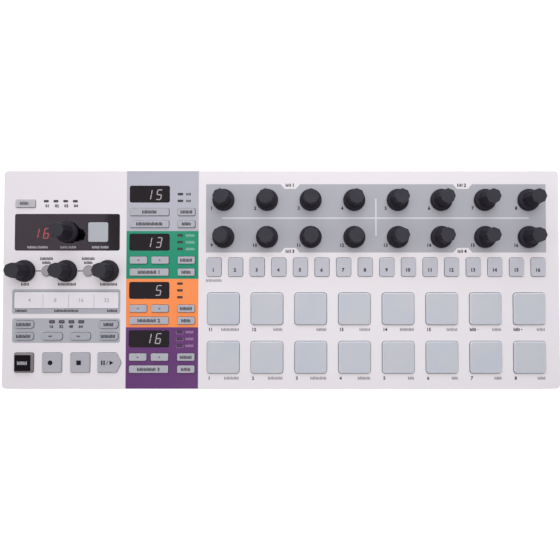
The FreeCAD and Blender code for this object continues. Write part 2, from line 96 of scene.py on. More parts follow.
def pick(kind, test):  # selects the faces or the edges that pass the test
    bpy.ops.mesh.select_mode(type=kind)
    bpy.ops.mesh.select_all(action="DESELECT")
    data = bpy.context.object.data
    mesh = bmesh.from_edit_mesh(data)
    for part in mesh.faces if kind == "FACE" else mesh.edges:
        part.select_set(test(part))
    bmesh.update_edit_mesh(data)


def isAlong(edge, axis):
    return abs((edge.verts[0].co - edge.verts[1].co).normalized()[axis]) > 0.9


def isUpright(edge):
    return isAlong(edge, 2)


def riseOf(edge):
    return abs(edge.verts[0].co.z - edge.verts[1].co.z)


def topOf(edge):
    return max(vert.co.z for vert in edge.verts)


def facesUp(face):
    return face.normal.z > 0.9


def edgesFrom(axis, level):  # the test for edges that lie at or past a level along an axis
    return lambda edge: min(vert.co[axis] for vert in edge.verts) > level - levelReach


def rimAt(level):  # the test for edges round the flat faces at that level
    def isRim(edge):
        atLevel = all(abs(vert.co.z - level) < levelReach for vert in edge.verts)
        return atLevel and any(abs(face.normal.z) < 0.7 for face in edge.link_faces)
    return isRim


def bevelEdges(test, offset, segments=1):
    pick("EDGE", test)
    bpy.ops.mesh.bevel(offset=offset, segments=segments, affect="EDGES")


def insetFaces(test, thickness, depth=0.0):
    pick("FACE", test)
    bpy.ops.mesh.inset(thickness=thickness, depth=depth)


def raiseFaces(height):
    bpy.ops.mesh.extrude_region_move(TRANSFORM_OT_translate={"value": (0, 0, height)})


def smoothByAngle(piece, degrees=35):
    choose(piece)
    bpy.ops.object.shade_smooth_by_angle(angle=math.radians(degrees))
    bpy.ops.object.modifier_add(type="WEIGHTED_NORMAL")
    piece.modifiers[-1].keep_sharp = True
    bpy.ops.object.modifier_apply(modifier=piece.modifiers[-1].name)
    return piece


def applyPlace(name):  # names the new primitive and moves its place into its mesh
    bpy.ops.object.transform_apply(location=True, rotation=True, scale=True)
    bpy.context.object.name = name
    return bpy.context.object


def addBlock(name, low, high):
    clearSelection()
    low, high = Vector(low), Vector(high)
    bpy.ops.mesh.primitive_cube_add(size=1, location=(low + high) / 2, scale=high - low)
    return applyPlace(name)


def addTile(name, middle, size, low, high):  # a block round a middle in X and Y, between two heights
    x, y, halfX, halfY = middle[0], middle[1], size[0] / 2, size[1] / 2
    return addBlock(name, (x - halfX, y - halfY, low), (x + halfX, y + halfY, high))


def addRound(name, radius, low, high, centre, sides=48):
    clearSelection()
    bpy.ops.mesh.primitive_cylinder_add(vertices=sides, radius=radius, depth=high - low,
                                        location=(centre[0], centre[1], (low + high) / 2))
    return applyPlace(name)


def cutCorners(piece, corner, segments=1, test=isUpright):
    startEdit(piece)
    bevelEdges(test, corner, segments)
    endEdit()
    return piece


def copyPiece(piece, name, offset, turn=0.0, stretch=1.0):
    twin = piece.copy()
    twin.data = piece.data.copy()
    shape = Matrix.Rotation(turn, 4, "Z") @ Matrix.Diagonal((1, stretch, 1, 1))
    twin.data.transform(Matrix.Translation(offset) @ shape)
    twin.name = name
    bpy.context.collection.objects.link(twin)
    return twin


def joinPieces(pieces, name):
    choose(pieces[0])
    for piece in pieces:
        piece.select_set(True)
    if len(pieces) > 1:
        bpy.ops.object.join()
    pieces[0].name = name
    return pieces[0]


def booleanWith(piece, others, operation):
    for other in others:
        modifier = piece.modifiers.new("boolean", "BOOLEAN")
        modifier.operation = operation
        modifier.solver = "EXACT"
        modifier.object = other
    choose(piece)
    for modifier in list(piece.modifiers):
        bpy.ops.object.modifier_apply(modifier=modifier.name)
    for other in others:
        bpy.data.objects.remove(other)
    return piece


def dress(piece, material):
    piece.data.materials.clear()
    piece.data.materials.append(material)
    return piece


def settle(piece, body, slot, finish, *nodes):
    dress(piece, materials[finish])
    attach(piece, body)
    if nodes:
        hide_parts(*nodes)


def spanOf(spots):  # the low and the high corner of some points
    return [Vector([limit(spot[axis] for spot in spots) for axis in range(3)]) for limit in (min, max)]


def solidsOf(node):  # the separate solids of a CAD node: low and high corner, and the outline of the top
    work = bmesh.new()
    work.from_mesh(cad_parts[node].data)
    bmesh.ops.remove_doubles(work, verts=work.verts, dist=weldReach)
    waiting = set(work.verts)
    found = []
    while waiting:
        reached = [waiting.pop()]
        for vert in reached:
            for edge in vert.link_edges:
                other = edge.other_vert(vert)
                if other in waiting:
                    waiting.discard(other)
                    reached.append(other)
        spots = [vert.co.copy() for vert in reached]
        low, high = spanOf(spots)
        capLow, capHigh = spanOf([spot for spot in spots if spot.z > high.z - levelReach])
        capLow.z = high.z
        found.append({"low": low, "high": high, "capLow": capLow, "capHigh": capHigh})
    work.free()
    found.sort(key=lambda solid: (-round(solid["low"].y / mm), solid["low"].x))
    return found


def middleOf(solid):
    return (solid["capLow"] + solid["capHigh"]) / 2


def boxMiddle(node):
    low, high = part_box(node)
    return (low + high) / 2


def onPanel(pixelX, pixelY):  # a pixel of the photograph, on the panel
    return (lensPlace[0] + (pixelX - photoMiddle[0]) * photoScale,
            lensPlace[1] - (pixelY - photoMiddle[1]) * photoScale)


# Shader nodes and shared node groups

def tone(red, green, blue):  # a colour as it looks, in the numbers that the shaders take
    def linear(share):
        return share / 12.92 if share <= 0.04045 else ((share + 0.055) / 1.055) ** 2.4

    return (*[linear(part / 255) for part in (red, green, blue)], 1.0)


def setInputs(node, inputs):  # a socket is linked, anything else is a value
    for name, value in inputs.items():
        if isinstance(value, bpy.types.NodeSocket):
            node.id_data.links.new(value, node.inputs[name])
        else:
            node.inputs[name].default_value = value
    return node


def addNode(tree, kind, inputs=None, **settings):
    node = tree.nodes.new("ShaderNode" + kind)
    for name, value in settings.items():
        setattr(node, name, value)
    return setInputs(node, inputs or {})


def calculate(tree, operation, first, second=0.0, clamp=False):
    return addNode(tree, "Math", {0: first, 1: second}, operation=operation, use_clamp=clamp).outputs[0]


def mixColours(tree, mask, first, second):
    mix = addNode(tree, "Mix", {"Factor": mask, "A": first, "B": second}, data_type="RGBA")
    return mix.outputs["Result"]


def addNoise(tree, place, scale, detail=2.0):
    return addNode(tree, "TexNoise", {"Vector": place, "Scale": scale, "Detail": detail}).outputs["Fac"]


def spread(tree, value, low, high):
    return addNode(tree, "MapRange", {"Value": value, "From Min": low, "From Max": high}).outputs["Result"]


def maskOf(tree, group, **inputs):
    return addNode(tree, "Group", inputs, node_tree=group).outputs[0]


def startGroup(name, inputs, outputs):  # an input without a value of its own is a vector
    group = bpy.data.node_groups.new(name, "ShaderNodeTree")
    for label, value in inputs.items():
        kind = {type(None): "Vector", tuple: "Color", float: "Float"}[type(value)]
        socket = group.interface.new_socket(label, in_out="INPUT", socket_type="NodeSocket" + kind)
        if value is not None:
            socket.default_value = value
    for label in outputs:
        kind = "Color" if label == "colour" else "Float"
        group.interface.new_socket(label, in_out="OUTPUT", socket_type="NodeSocket" + kind)
    made = group.nodes.new("NodeGroupOutput")
    return group, group.nodes.new("NodeGroupInput").outputs, made, partial(calculate, group)


finishInputs = {
    "place": None, "colour": (0.5, 0.5, 0.5, 1.0), "rubbed": (0.6, 0.6, 0.6, 1.0), "patchScale": 25.0,
    "patchAmount": 0.15, "speckScale": 900.0, "speckAmount": 0.0, "grainScale": 2500.0, "roughness": 0.5,
    "roughnessSpread": 0.1,
}


def makeFinishGroup():  # a colour with rubbed patches, specks of dust and a fine grain
    group, given, made, calc = startGroup("surfaceFinish", finishInputs, ("colour", "roughness", "height"))
    patches = spread(group, addNoise(group, given["place"], given["patchScale"], 4), 0.38, 0.66)
    specks = spread(group, addNoise(group, given["place"], given["speckScale"], 1), 0.66, 0.74)
    share = calc("MAXIMUM", calc("MULTIPLY", patches, given["patchAmount"]),
                 calc("MULTIPLY", specks, given["speckAmount"]))
    uneven = calc("MULTIPLY", calc("SUBTRACT", patches, 0.5), given["roughnessSpread"])
    setInputs(made, {
        "colour": mixColours(group, share, given["colour"], given["rubbed"]),
        "roughness": calc("ADD", uneven, given["roughness"]),
        "height": addNoise(group, given["place"], given["grainScale"]),
    })
    return group


def makeZoneGroup():  # 1 inside a rounded rectangle in X and Y, which may narrow towards one side
    group, given, made, calc = startGroup("roundedZone", {
        "place": None, "centreX": 0.0, "centreY": 0.0, "halfWidth": 0.01, "halfDepth": 0.01, "radius": 0.0,
        "taper": 0.0, "softness": 0.00012,
    }, ("mask",))
    spot = addNode(group, "SeparateXYZ", {0: given["place"]}).outputs
    offX = calc("ABSOLUTE", calc("SUBTRACT", spot["X"], given["centreX"]))
    offY = calc("SUBTRACT", spot["Y"], given["centreY"])
    narrowed = calc("SUBTRACT", offX, calc("MULTIPLY", offY, given["taper"]))
    overX = calc("SUBTRACT", narrowed, given["halfWidth"])
    overY = calc("SUBTRACT", calc("ABSOLUTE", offY), given["halfDepth"])
    cornerX, cornerY = [calc("ADD", over, given["radius"]) for over in (overX, overY)]
    outX, outY = [calc("MAXIMUM", corner, 0.0) for corner in (cornerX, cornerY)]
    outside = calc("SQRT", calc("ADD", calc("MULTIPLY", outX, outX), calc("MULTIPLY", outY, outY)))
    inside = calc("MINIMUM", calc("MAXIMUM", cornerX, cornerY), 0.0)
    distance = calc("SUBTRACT", calc("ADD", outside, inside), given["radius"])
    shown = calc("SUBTRACT", 0.5, calc("DIVIDE", distance, given["softness"]), clamp=True)
    setInputs(made, {"mask": shown})
    return group


def makeLevelGroup():  # 1 below a height
    inputs = {"place": None, "level": 0.0, "softness": 0.00005}
    group, given, made, calc = startGroup("belowLevel", inputs, ("below",))
    spot = addNode(group, "SeparateXYZ", {0: given["place"]}).outputs
    depth = calc("SUBTRACT", given["level"], spot["Z"])
    setInputs(made, {"below": calc("DIVIDE", depth, given["softness"], clamp=True)})
    return group


def makeRimGroup():  # 1 where a surface is rounded off between its top and its side
    group, given, made, calc = startGroup("roundedRim", {"normal": None}, ("rim",))
    upward = addNode(group, "SeparateXYZ", {0: given["normal"]}).outputs["Z"]
    tilted, notSide = spread(group, upward, 0.99, 0.9), spread(group, upward, 0.3, 0.5)
    setInputs(made, {"rim": calc("MULTIPLY", tilted, notSide)})
    return group


finishGroup, zoneGroup = makeFinishGroup(), makeZoneGroup()
levelGroup, rimGroup = makeLevelGroup(), makeRimGroup()
shaderInputs = {
    "specular": "Specular IOR Level", "metallic": "Metallic", "transmission": "Transmission Weight",
    "ior": "IOR", "tint": "Specular Tint", "glow": "Emission Strength",
}


def surface(colour, rubbed, roughness, **more):  # what a finish is made of, its colours as they look
    return dict(more, colour=colour, rubbed=rubbed, roughness=roughness)


def makeMaterial(name, look, paint=None):
    material = bpy.data.materials.new(name)
    material.use_nodes = True
    tree = material.node_tree
    shader = tree.nodes["Principled BSDF"]
    seen = addNode(tree, "TexCoord").outputs
    place, colour = seen["Object"], tone(*look["colour"])
    if "glow" in look:  # a little uneven, as through a diffuser
        dim = (*[part * 0.75 for part in colour[:3]], 1)
        setInputs(shader, {"Emission Color": mixColours(tree, addNoise(tree, place, 700), colour, dim)})
    if paint:
        colour = paint(tree, place, colour)
    if "below" in look:  # painted shade: a darker colour below a height
        mask = maskOf(tree, levelGroup, place=place, **look["below"])
        colour = mixColours(tree, mask, colour, tone(*look["belowColour"]))
    if "rim" in look:  # painted highlight: rounded edges are painted paler than the flats
        mask = maskOf(tree, rimGroup, normal=seen["Normal"])
        colour = mixColours(tree, mask, colour, tone(*look["rim"]))
    values = {key: look[key] for key in finishInputs if key in look}
    values.update(place=place, colour=colour, rubbed=tone(*look["rubbed"]))
    finish = addNode(tree, "Group", values, node_tree=finishGroup).outputs
    bump = addNode(tree, "Bump", {"Strength": look.get("bump", 0.2), "Height": finish["height"],
                                  "Distance": look.get("grainDepth", 0.02) * mm})
    setInputs(shader, {"Base Color": finish["colour"], "Roughness": finish["roughness"],
                       "Normal": bump.outputs["Normal"]})
    setInputs(shader, {label: look[key] for key, label in shaderInputs.items() if key in look})
    return material


# The top panel's paint: bands, fields and lines in printed colours

caseWhite = (231, 226, 230)
panelPaint = {  # places and sizes of the paint are in millimetres, areas are left, right, front and rear
    "finish": surface(caseWhite, (214, 206, 214), 0.5, patchScale=9, patchAmount=0.04, roughnessSpread=0.08,
                      grainScale=1800, bump=0.12, grainDepth=0.015, specular=0.2),
    "bands": ((179, 179, 190), (20, 139, 106), (250, 145, 83), (99, 55, 112)),
    "bandEdges": (35.9, 0.3, -35.5),
    "bandSides": (-114.9, -61.3),
    "knobField": (-55.9, 196.8, 19.9, 70.8),
    "fieldGrey": (172, 172, 180),
    "crossLines": ((-44.1, 184.1, 44.975, 46.025), (69.925, 70.975, 32.4, 60.0)),
    "lineWhite": (211, 213, 221),
    "notch": {"middles": (6.7, 134.9), "halfWidth": 7.1, "depth": 3.4, "taper": 0.86},
    "roundAreas": ((-199.3, -119.1, -25.6, -7.35, 1.6), (-199.05, -119.1, -47.0, -28.9, 1.8)),  # and radius
    "roundGrey": (174, 175, 183),
    "knobLines": {"middle": 6.2, "half": 0.35, "pixels": ((35.0, 42.5), (77.0, 83.5))},
    "lineDark": (28, 24, 30),
    # painted shade: the walls of the panel's openings, below its top, are painted near black
    "cut": {"colour": (40, 38, 42), "level": panelTop - 0.06 * mm, "inside": 4.0 * mm},
}


def paintPanel(tree, place, colour):
    look = panelPaint

    def paint(shade, left, right, front, rear, radius=0.0, taper=0.0):
        nonlocal colour
        sizes = dict(centreX=(left + right) / 2, centreY=(front + rear) / 2, halfWidth=(right - left) / 2,
                     halfDepth=(rear - front) / 2, radius=radius)
        mask = maskOf(tree, zoneGroup, place=place, taper=taper, **lengths(**sizes))
        colour = mixColours(tree, mask, colour, tone(*shade))

    edges = (cadHigh.y / mm + 1, *look["bandEdges"], cadLow.y / mm - 1)
    for shade, rear, front in zip(look["bands"], edges, edges[1:]):
        paint(shade, *look["bandSides"], front, rear)
    paint(look["fieldGrey"], *look["knobField"])
    for area in look["crossLines"]:
        paint(look["lineWhite"], *area)
    notch = look["notch"]
    for middle in notch["middles"]:
        for edge, side in zip(look["knobField"][:1:-1], (1, -1)):  # the rear edge, then the front edge
            left, right = middle - notch["halfWidth"], middle + notch["halfWidth"]
            front, rear = edge - notch["depth"], edge + notch["depth"]
            paint(caseWhite, left, right, front, rear, taper=side * notch["taper"])
    for area in look["roundAreas"]:
        paint(look["roundGrey"], *area)
    line = look["knobLines"]
    for ends in line["pixels"]:
        left, right = [onPanel(end, 0)[0] / mm for end in ends]
        paint(look["lineDark"], left, right, line["middle"] - line["half"], line["middle"] + line["half"])
    cut = look["cut"]  # painted shade: the walls of the openings are painted dark, the outer sides stay white
    inner = maskOf(tree, zoneGroup, place=place, halfWidth=cadHigh.x - cut["inside"],
                   halfDepth=cadHigh.y - cut["inside"])
    below = maskOf(tree, levelGroup, place=place, level=cut["level"])
    return mixColours(tree, calculate(tree, "MULTIPLY", inner, below), colour, tone(*cut["colour"]))


# Finishes: colour, rubbed colour and roughness, and what else the surface finish group takes

shadeUnderPanel = {"below": {"level": panelTop - 0.35 * mm}, "belowColour": (44, 42, 46)}  # painted shade: keys and pads are painted dark under the panel, where the gaps round them lie in shade
mattKey = {**shadeUnderPanel, "patchScale": 60, "bump": 0.15, "specular": 0.3}
plainKey = {**mattKey, "specular": 0.35}
# painted light and shade: the knob is painted darker below its top face, so the top reads lit and the sides
# shaded
knobSideShade = {"below": {"level": cadHigh.z - 0.3 * mm, "softness": 0.2 * mm}, "belowColour": (38, 35, 43)}
# the rim colours of the keys and pads are painted highlights on their rounded edges
finishes = {
    "caseWhite": surface(caseWhite, (214, 209, 213), 0.5, patchScale=12),
    "keyGrey": surface((189, 189, 199), (196, 197, 206), 0.55, rim=(208, 208, 216), **plainKey),
    "trackGrey": surface((173, 173, 182), (180, 179, 188), 0.55, rim=(186, 184, 193), **mattKey),
    "syncGrey": surface((183, 182, 187), (186, 184, 190), 0.55, rim=(196, 194, 200), **mattKey),
    "tapGrey": surface((175, 178, 185), (180, 182, 190), 0.55, rim=(190, 192, 200), **mattKey),
    "transportGrey": surface((174, 173, 181), (176, 176, 184), 0.55, **plainKey),
    "linkGreyKey": surface((167, 168, 177), (174, 174, 184), 0.55, **plainKey),
    "buttonGrey": surface((161, 156, 162), (162, 158, 164), 0.5, **plainKey),
    "padRubber": surface((194, 195, 202), (184, 192, 206), 0.6, rim=(213, 214, 220), patchScale=40,
                         patchAmount=0.5, grainScale=2200, bump=0.25, specular=0.3, **shadeUnderPanel),
    "shiftGrey": surface((126, 121, 123), (128, 124, 127), 0.5, specular=0.3, **shadeUnderPanel),
    "shiftBlack": surface((12, 8, 14), (20, 16, 22), 0.5, specular=0.06),
    "knobRubber": surface((54, 53, 59), (48, 46, 53), 0.6, patchScale=120, patchAmount=0.3,
                          speckAmount=0.15, grainScale=3500, bump=0.3, specular=0.12, **knobSideShade),
    "smokedGlass": surface((50, 48, 50), (46, 44, 46), 0.07, patchScale=20, bump=0.02, roughnessSpread=0.04,
                           grainDepth=0.004, transmission=1.0, ior=1.38, tint=(1.0, 0.85, 1.0, 1.0)),
    "litWhite": surface((228, 228, 226), (228, 228, 226), 0.5, patchAmount=0.0, glow=20.0),
    "litRed": surface((236, 106, 88), (236, 106, 88), 0.5, patchAmount=0.0, glow=17.0),
    "digitBlack": surface((22, 21, 23), (34, 33, 35), 0.6, specular=0.2),
    "touchWhite": surface((232, 228, 234), (224, 220, 226), 0.45, patchScale=30, specular=0.3),
    "basePaint": surface((52, 52, 55), (74, 74, 78), 0.55, patchScale=30, grainScale=1500, grainDepth=0.06,
                         bump=0.5),
    "footRubber": surface((34, 34, 36), (60, 60, 62), 0.8, patchScale=150, speckAmount=0.5, bump=0.4,
                          specular=0.25),
    "boardGreen": surface((24, 84, 58), (34, 104, 70), 0.4, patchScale=80),
    "matRubber": surface((120, 122, 128), (138, 140, 146), 0.75),
    "encoderMetal": surface((176, 178, 182), (150, 150, 152), 0.35, patchScale=200, metallic=1.0),
    "contactMetal": surface((196, 190, 178), (150, 142, 128), 0.3, patchScale=300, metallic=1.0),
    "screwSteel": surface((96, 96, 100), (140, 140, 142), 0.38, patchScale=400, metallic=1.0),
    "socketBlack": surface((28, 28, 30), (46, 46, 48), 0.45, specular=0.3),
    "lightFrame": surface((50, 44, 48), (64, 58, 62), 0.45, specular=0.3),
    "lightLens": surface((88, 78, 82), (108, 98, 102), 0.25, patchScale=500),
}
inks = {  # each ink and its rubbed colour
    "printDark": ((28, 24, 30), (54, 50, 56)), "printGrey": ((136, 132, 138), (144, 140, 146)),
    "printPale": ((146, 142, 148), (170, 166, 172)), "printMid": ((62, 58, 66), (74, 70, 78)),
    "printBlack": ((22, 18, 24), (36, 32, 38)), "printLilac": ((160, 132, 170), (148, 122, 158)),
    "printMint": ((136, 188, 168), (126, 180, 160)), "printLine": ((178, 174, 180), (170, 166, 172)),
}
finishes.update({name: surface(*ink, 0.6, specular=0.12) for name, ink in inks.items()})
materials = {name: makeMaterial(name, look) for name, look in finishes.items()}
materials["paintedPanel"] = makeMaterial("paintedPanel", panelPaint["finish"], paintPanel)
print("materials ready:", len(materials))


# CAD nodes that stay: a weld and a fine bevel soften their edges, and they get their finishes

softLook = {"flatWithin": math.radians(1), "edgeFrom": math.radians(38), "segments": 2}
keptNodes = {  # finish and width of the softened edges
    "case_frame": ("caseWhite", 0.25), "base_plate": ("basePaint", 0.15),
    "usb_socket": ("encoderMetal", 0.05), "encoder_bodies": ("encoderMetal", 0.0),
    "main_board": ("boardGreen", 0.0), "contact_mats": ("matRubber", 0.0),
    "digit_modules": ("digitBlack", 0.0),
}
for node, (finish, width) in keptNodes.items():
    piece = dress(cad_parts[node], materials[finish])
    piece.modifiers.new("weld", "WELD").merge_threshold = weldReach
    flat = piece.modifiers.new("flat", "DECIMATE")
    flat.decimate_type = "DISSOLVE"
    flat.angle_limit = softLook["flatWithin"]
    if width:
        bevel = piece.modifiers.new("bevel", "BEVEL")
        bevel.width = width * mm
        bevel.segments = softLook["segments"]
        bevel.limit_method = "ANGLE"
        bevel.angle_limit = softLook["edgeFrom"]
print("kept nodes dressed:", len(keptNodes))


# What stands in the panel: the radius of its corners and the gap round it, in millimetres

panelPieces = {
    "step_keys": (1.4, 0.25), "track_keys": (0.9, 0.25), "link_keys": (2.0, 0.25), "sync_key": (0.8, 0.25),
    "tap_key": (1.2, 0.25), "shift_key": (1.2, 0.25), "record_key": (1.2, 0.25), "stop_key": (1.2, 0.25),
    "play_key": (0.8, 0.25), "pads": (2.2, 0.3), "display_windows": (1.3, 0.2), "touch_strip": (0.9, 0.2),
    "status_lights": (0.5, 0.1),
}
panelLook = lengths(corner=3.0, rim=0.4, holeEdge=0.1, spindleHole=3.45, buttonHole=4.1, playPoint=3.5)
padNodes = [f"pad_{number:02d}" for number in range(1, 17)]
knobNodes = [f"knob_{number:02d}" for number in range(1, 17)]
knobNodes += ["swing_knob", "random_knob", "chance_knob", "tempo_knob"]
otherNodes = ("track_buttons", "jack_sockets", "rubber_feet")
solids = {node: solidsOf(node) for node in (*panelPieces, *otherNodes) if node != "pads"}
solids["pads"] = [solidsOf(node)[0] for node in padNodes]
shiftSolid, recordSolid = solids["shift_key"][0], solids["record_key"][0]
for corner in ("capLow", "capHigh"):  # below its taper the shift key is as wide as the record key
    shiftSolid[corner] = recordSolid[corner].copy()
    shiftSolid[corner].x += shiftSolid["low"].x - recordSolid["low"].x


def cutPoint(low, high):  # cuts the play key's block to a point on the right
    tip = Vector((high.x, (low.y + high.y) / 2, 0))
    for side in (1, -1):
        along = tip - Vector((high.x - panelLook["playPoint"], high.y if side > 0 else low.y, 0))
        outward = Vector((abs(along.y), side * along.x, 0)).normalized()
        bpy.ops.mesh.select_all(action="SELECT")
        bpy.ops.mesh.bisect(plane_co=tip, plane_no=outward, use_fill=True, clear_outer=True)


def modelCutter(node, solid, deep=mm):
    corner, gap = [size * mm for size in panelPieces[node]]
    low, high = solid["capLow"] - Vector((gap, gap, 0)), solid["capHigh"] + Vector((gap, gap, 0))
    cutter = addBlock("cutter", (low.x, low.y, panelBottom - deep), (high.x, high.y, panelTop + mm))
    startEdit(cutter)
    if node == "play_key":
        cutPoint(low, high)
    bevelEdges(isUpright, corner + gap, 4)
    endEdit()
    return cutter


def roundCutter(radius, centre, sides, deep=mm):
    return addRound("cutter", radius, panelBottom - deep, panelTop + mm, centre, sides)


def modelPanel():
    look = panelLook
    low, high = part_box("top_panel")
    panel = addBlock("paintedPanel", low, high)
    startEdit(panel)
    bevelEdges(isUpright, look["corner"], 6)
    bevelEdges(rimAt(panelTop), look["rim"], 3)
    endEdit()
    standing = [node for node in panelPieces if node != "tap_key"]  # the tap key stands in the tempo window
    cutters = [modelCutter(node, solid) for node in standing for solid in solids[node]]
    cutters += [roundCutter(look["spindleHole"], boxMiddle(node), 24) for node in knobNodes[:-1]]
    cutters += [roundCutter(look["buttonHole"], middleOf(solid), 32) for solid in solids["track_buttons"]]
    booleanWith(panel, [joinPieces(cutters, "cutters")], "DIFFERENCE")
    insideX, insideY = high.x - look["rim"] * 2, high.y - look["rim"] * 2
    isRim = rimAt(panelTop)

    def isHoleRim(edge):
        within = all(abs(vert.co.x) < insideX and abs(vert.co.y) < insideY for vert in edge.verts)
        return within and isRim(edge)

    return smoothByAngle(cutCorners(panel, look["holeEdge"], test=isHoleRim), 30)


settle(modelPanel(), "root", "case_white", "paintedPanel", "top_panel")
print("panel ready")


# Keys, pads and panes: a flange under the panel and a cap through it, with rounded corners and edges

keyLook = {**lengths(flange=1.0, edge=0.42), "edgeSteps": 3, "cornerSteps": 5}
padLook = {**keyLook, **lengths(flange=1.2, plunger=15.0, below=0.3, edge=0.8, crownStart=0.5, crown=0.08)}
paneLook = {**keyLook, "edge": 0.12 * mm, "edgeSteps": 2}


def modelKey(name, node, solid, look):
    low, high = solid["low"], solid["high"]
    base = panelBottom - look["below"] - look["flange"] if "plunger" in look else low.z
    flangeTop = base + look["flange"]
    piece = addBlock(name, (low.x, low.y, base), (high.x, high.y, flangeTop))
    startEdit(piece)
    if node == "play_key":
        cutPoint(low, high)
    if "plunger" in look:  # pads stand on a block over their sensor
        insetFaces(lambda face: face.normal.z < -0.9, (high.x - low.x - look["plunger"]) / 2)
        raiseFaces(low.z - base)
    insetFaces(facesUp, solid["capLow"].x - low.x)
    raiseFaces(high.z - flangeTop)
    bevelEdges(lambda edge: isUpright(edge) and topOf(edge) > flangeTop + 0.1 * mm,
               panelPieces[node][0] * mm, look["cornerSteps"])
    bevelEdges(rimAt(high.z), look["edge"], look["edgeSteps"])
    for depth in (0.0, look["crown"]) if "crown" in look else ():
        insetFaces(lambda face: face.normal.z > 0.99 and len(face.verts) > 8, look["crownStart"], -depth)
    endEdit()
    return smoothByAngle(piece)


firstPad = solids["pads"][0]
padMaster = modelKey("padMaster", "pads", firstPad, padLook)
for node, solid in zip(padNodes, solids["pads"]):
    piece = copyPiece(padMaster, "padCap" + node[-2:], middleOf(solid) - middleOf(firstPad))
    settle(piece, node + "_body", "pad_rubber", "padRubber", node)
bpy.data.objects.remove(padMaster)
print("pads ready:", len(padNodes))


def modelKeyRow(node, name, look=keyLook):  # one key for each size in the node, copied to its places
    masters = {}
    pieces = []
    for solid in solids[node]:
        size = solid["high"] - solid["low"]
        kind = (round(size.x / mm, 1), round(size.y / mm, 1))
        if kind not in masters:
            masters[kind] = (modelKey("keyMaster", node, solid, look), middleOf(solid))
        master, place = masters[kind]
        pieces.append(copyPiece(master, "keyCopy", middleOf(solid) - place))
    for master, _ in masters.values():
        bpy.data.objects.remove(master)
    return joinPieces(pieces, name)


keyRows = {  # name and finish
    "step_keys": ("stepKeys", "keyGrey"), "track_keys": ("trackKeys", "trackGrey"),
    "link_keys": ("linkKeys", "linkGreyKey"), "sync_key": ("syncKey", "syncGrey"),
    "tap_key": ("tapKey", "tapGrey"), "record_key": ("recordKey", "transportGrey"),
    "stop_key": ("stopKey", "transportGrey"), "play_key": ("playKey", "transportGrey"),
}
for node, (name, finish) in keyRows.items():
    settle(modelKeyRow(node, name), node + "_body", "key_grey", finish, node)

shiftLook = lengths(shoulder=0.4, top=11.8, corner=1.2, capCorner=0.7, edge=0.2, cap=0.35, sunk=0.05)


def modelShiftKey():
    look = shiftLook
    low, high, centre = shiftSolid["low"], shiftSolid["high"], middleOf(shiftSolid)
    flangeTop = low.z + keyLook["flange"]
    shoulder = panelTop + look["shoulder"]
    base = addBlock("shiftKey", low, (high.x, high.y, flangeTop))
    startEdit(base)
    insetFaces(facesUp, shiftSolid["capLow"].x - low.x)
    raiseFaces(shoulder - flangeTop)
    raiseFaces(high.z - look["cap"] - shoulder)
    share = look["top"] / (shiftSolid["capHigh"].x - shiftSolid["capLow"].x)
    bpy.ops.transform.resize(value=(share, share, 1), center_override=(centre.x, centre.y, shoulder))
    bevelEdges(lambda edge: topOf(edge) > flangeTop + 0.1 * mm and riseOf(edge) > 0.2 * mm,
               look["corner"], 4)
    endEdit()
    capLow = high.z - look["cap"] - look["sunk"]
    cap = addTile("shiftCap", centre, (look["top"], look["top"]), capLow, high.z)
    startEdit(cap)
    bevelEdges(isUpright, look["capCorner"], 4)
    bevelEdges(rimAt(high.z), look["edge"], 2)
    endEdit()
    return smoothByAngle(base), smoothByAngle(cap)


shiftBase, shiftCap = modelShiftKey()
settle(shiftBase, "shift_key_body", "shift_black", "shiftGrey", "shift_key")
settle(shiftCap, "shift_key_body", "shift_black", "shiftBlack")

roundLook = lengths(flangeRadius=4.55, capRadius=3.75, flange=1.0, edge=0.3)


def modelRoundButton(solid):
    look = roundLook
    low, high = solid["low"].z, solid["high"].z
    piece = addRound("roundButton", look["flangeRadius"], low, low + look["flange"], middleOf(solid))
    startEdit(piece)
    insetFaces(facesUp, look["flangeRadius"] - look["capRadius"])
    raiseFaces(high - low - look["flange"])
    bevelEdges(rimAt(high), look["edge"], 3)
    endEdit()
    return smoothByAngle(piece)


roundButtons = joinPieces([modelRoundButton(solid) for solid in solids["track_buttons"]], "roundButtons")
settle(roundButtons, "track_buttons_body", "key_grey", "buttonGrey", "track_buttons")
print("keys ready")


# Panes: the smoked windows, with holes in the large one for its knob and key, and the touch strip

largePane = 60 * mm


def isLarge(pane):
    return pane["high"].x - pane["low"].x > largePane


def modelPanes():
    panes = []
    for solid in solids["display_windows"]:
        pane = modelKey("pane", "display_windows", solid, paneLook)
        if isLarge(solid):
            key = modelCutter("tap_key", solids["tap_key"][0], 4 * mm)
            hole = roundCutter(panelLook["spindleHole"], boxMiddle("tempo_knob"), 32, 4 * mm)
            booleanWith(pane, [key, hole], "DIFFERENCE")
        panes.append(pane)
    return smoothByAngle(joinPieces(panes, "smokedPanes"), 30)


settle(modelPanes(), "root", "window_smoke", "smokedGlass", "display_windows")
touchStrip = modelKeyRow("touch_strip", "touchStrip", paneLook)
settle(touchStrip, "root", "strip_white", "touchWhite", "touch_strip")
print("panes ready")


# Status lights: a dark frame with a smoky lens set into it

lightLook = lengths(border=0.42, pit=0.5, corner=0.4, lensDown=0.12, lensGap=0.03, lensEdge=0.18)


def modelLight(solid):
    look = lightLook
    low, high = solid["low"], solid["high"]
    piece = addBlock("lightFrame", low, high)
    startEdit(piece)
    bevelEdges(isUpright, look["corner"], 3)
    insetFaces(facesUp, look["border"])
    raiseFaces(-look["pit"])
    endEdit()
    inset = look["border"] + look["lensGap"]
    lens = addBlock("lightLens", (low.x + inset, low.y + inset, high.z - look["pit"]),
                    (high.x - inset, high.y - inset, high.z - look["lensDown"]))
    cutCorners(lens, look["lensEdge"], 2, rimAt(high.z - look["lensDown"]))
    return piece, smoothByAngle(lens)


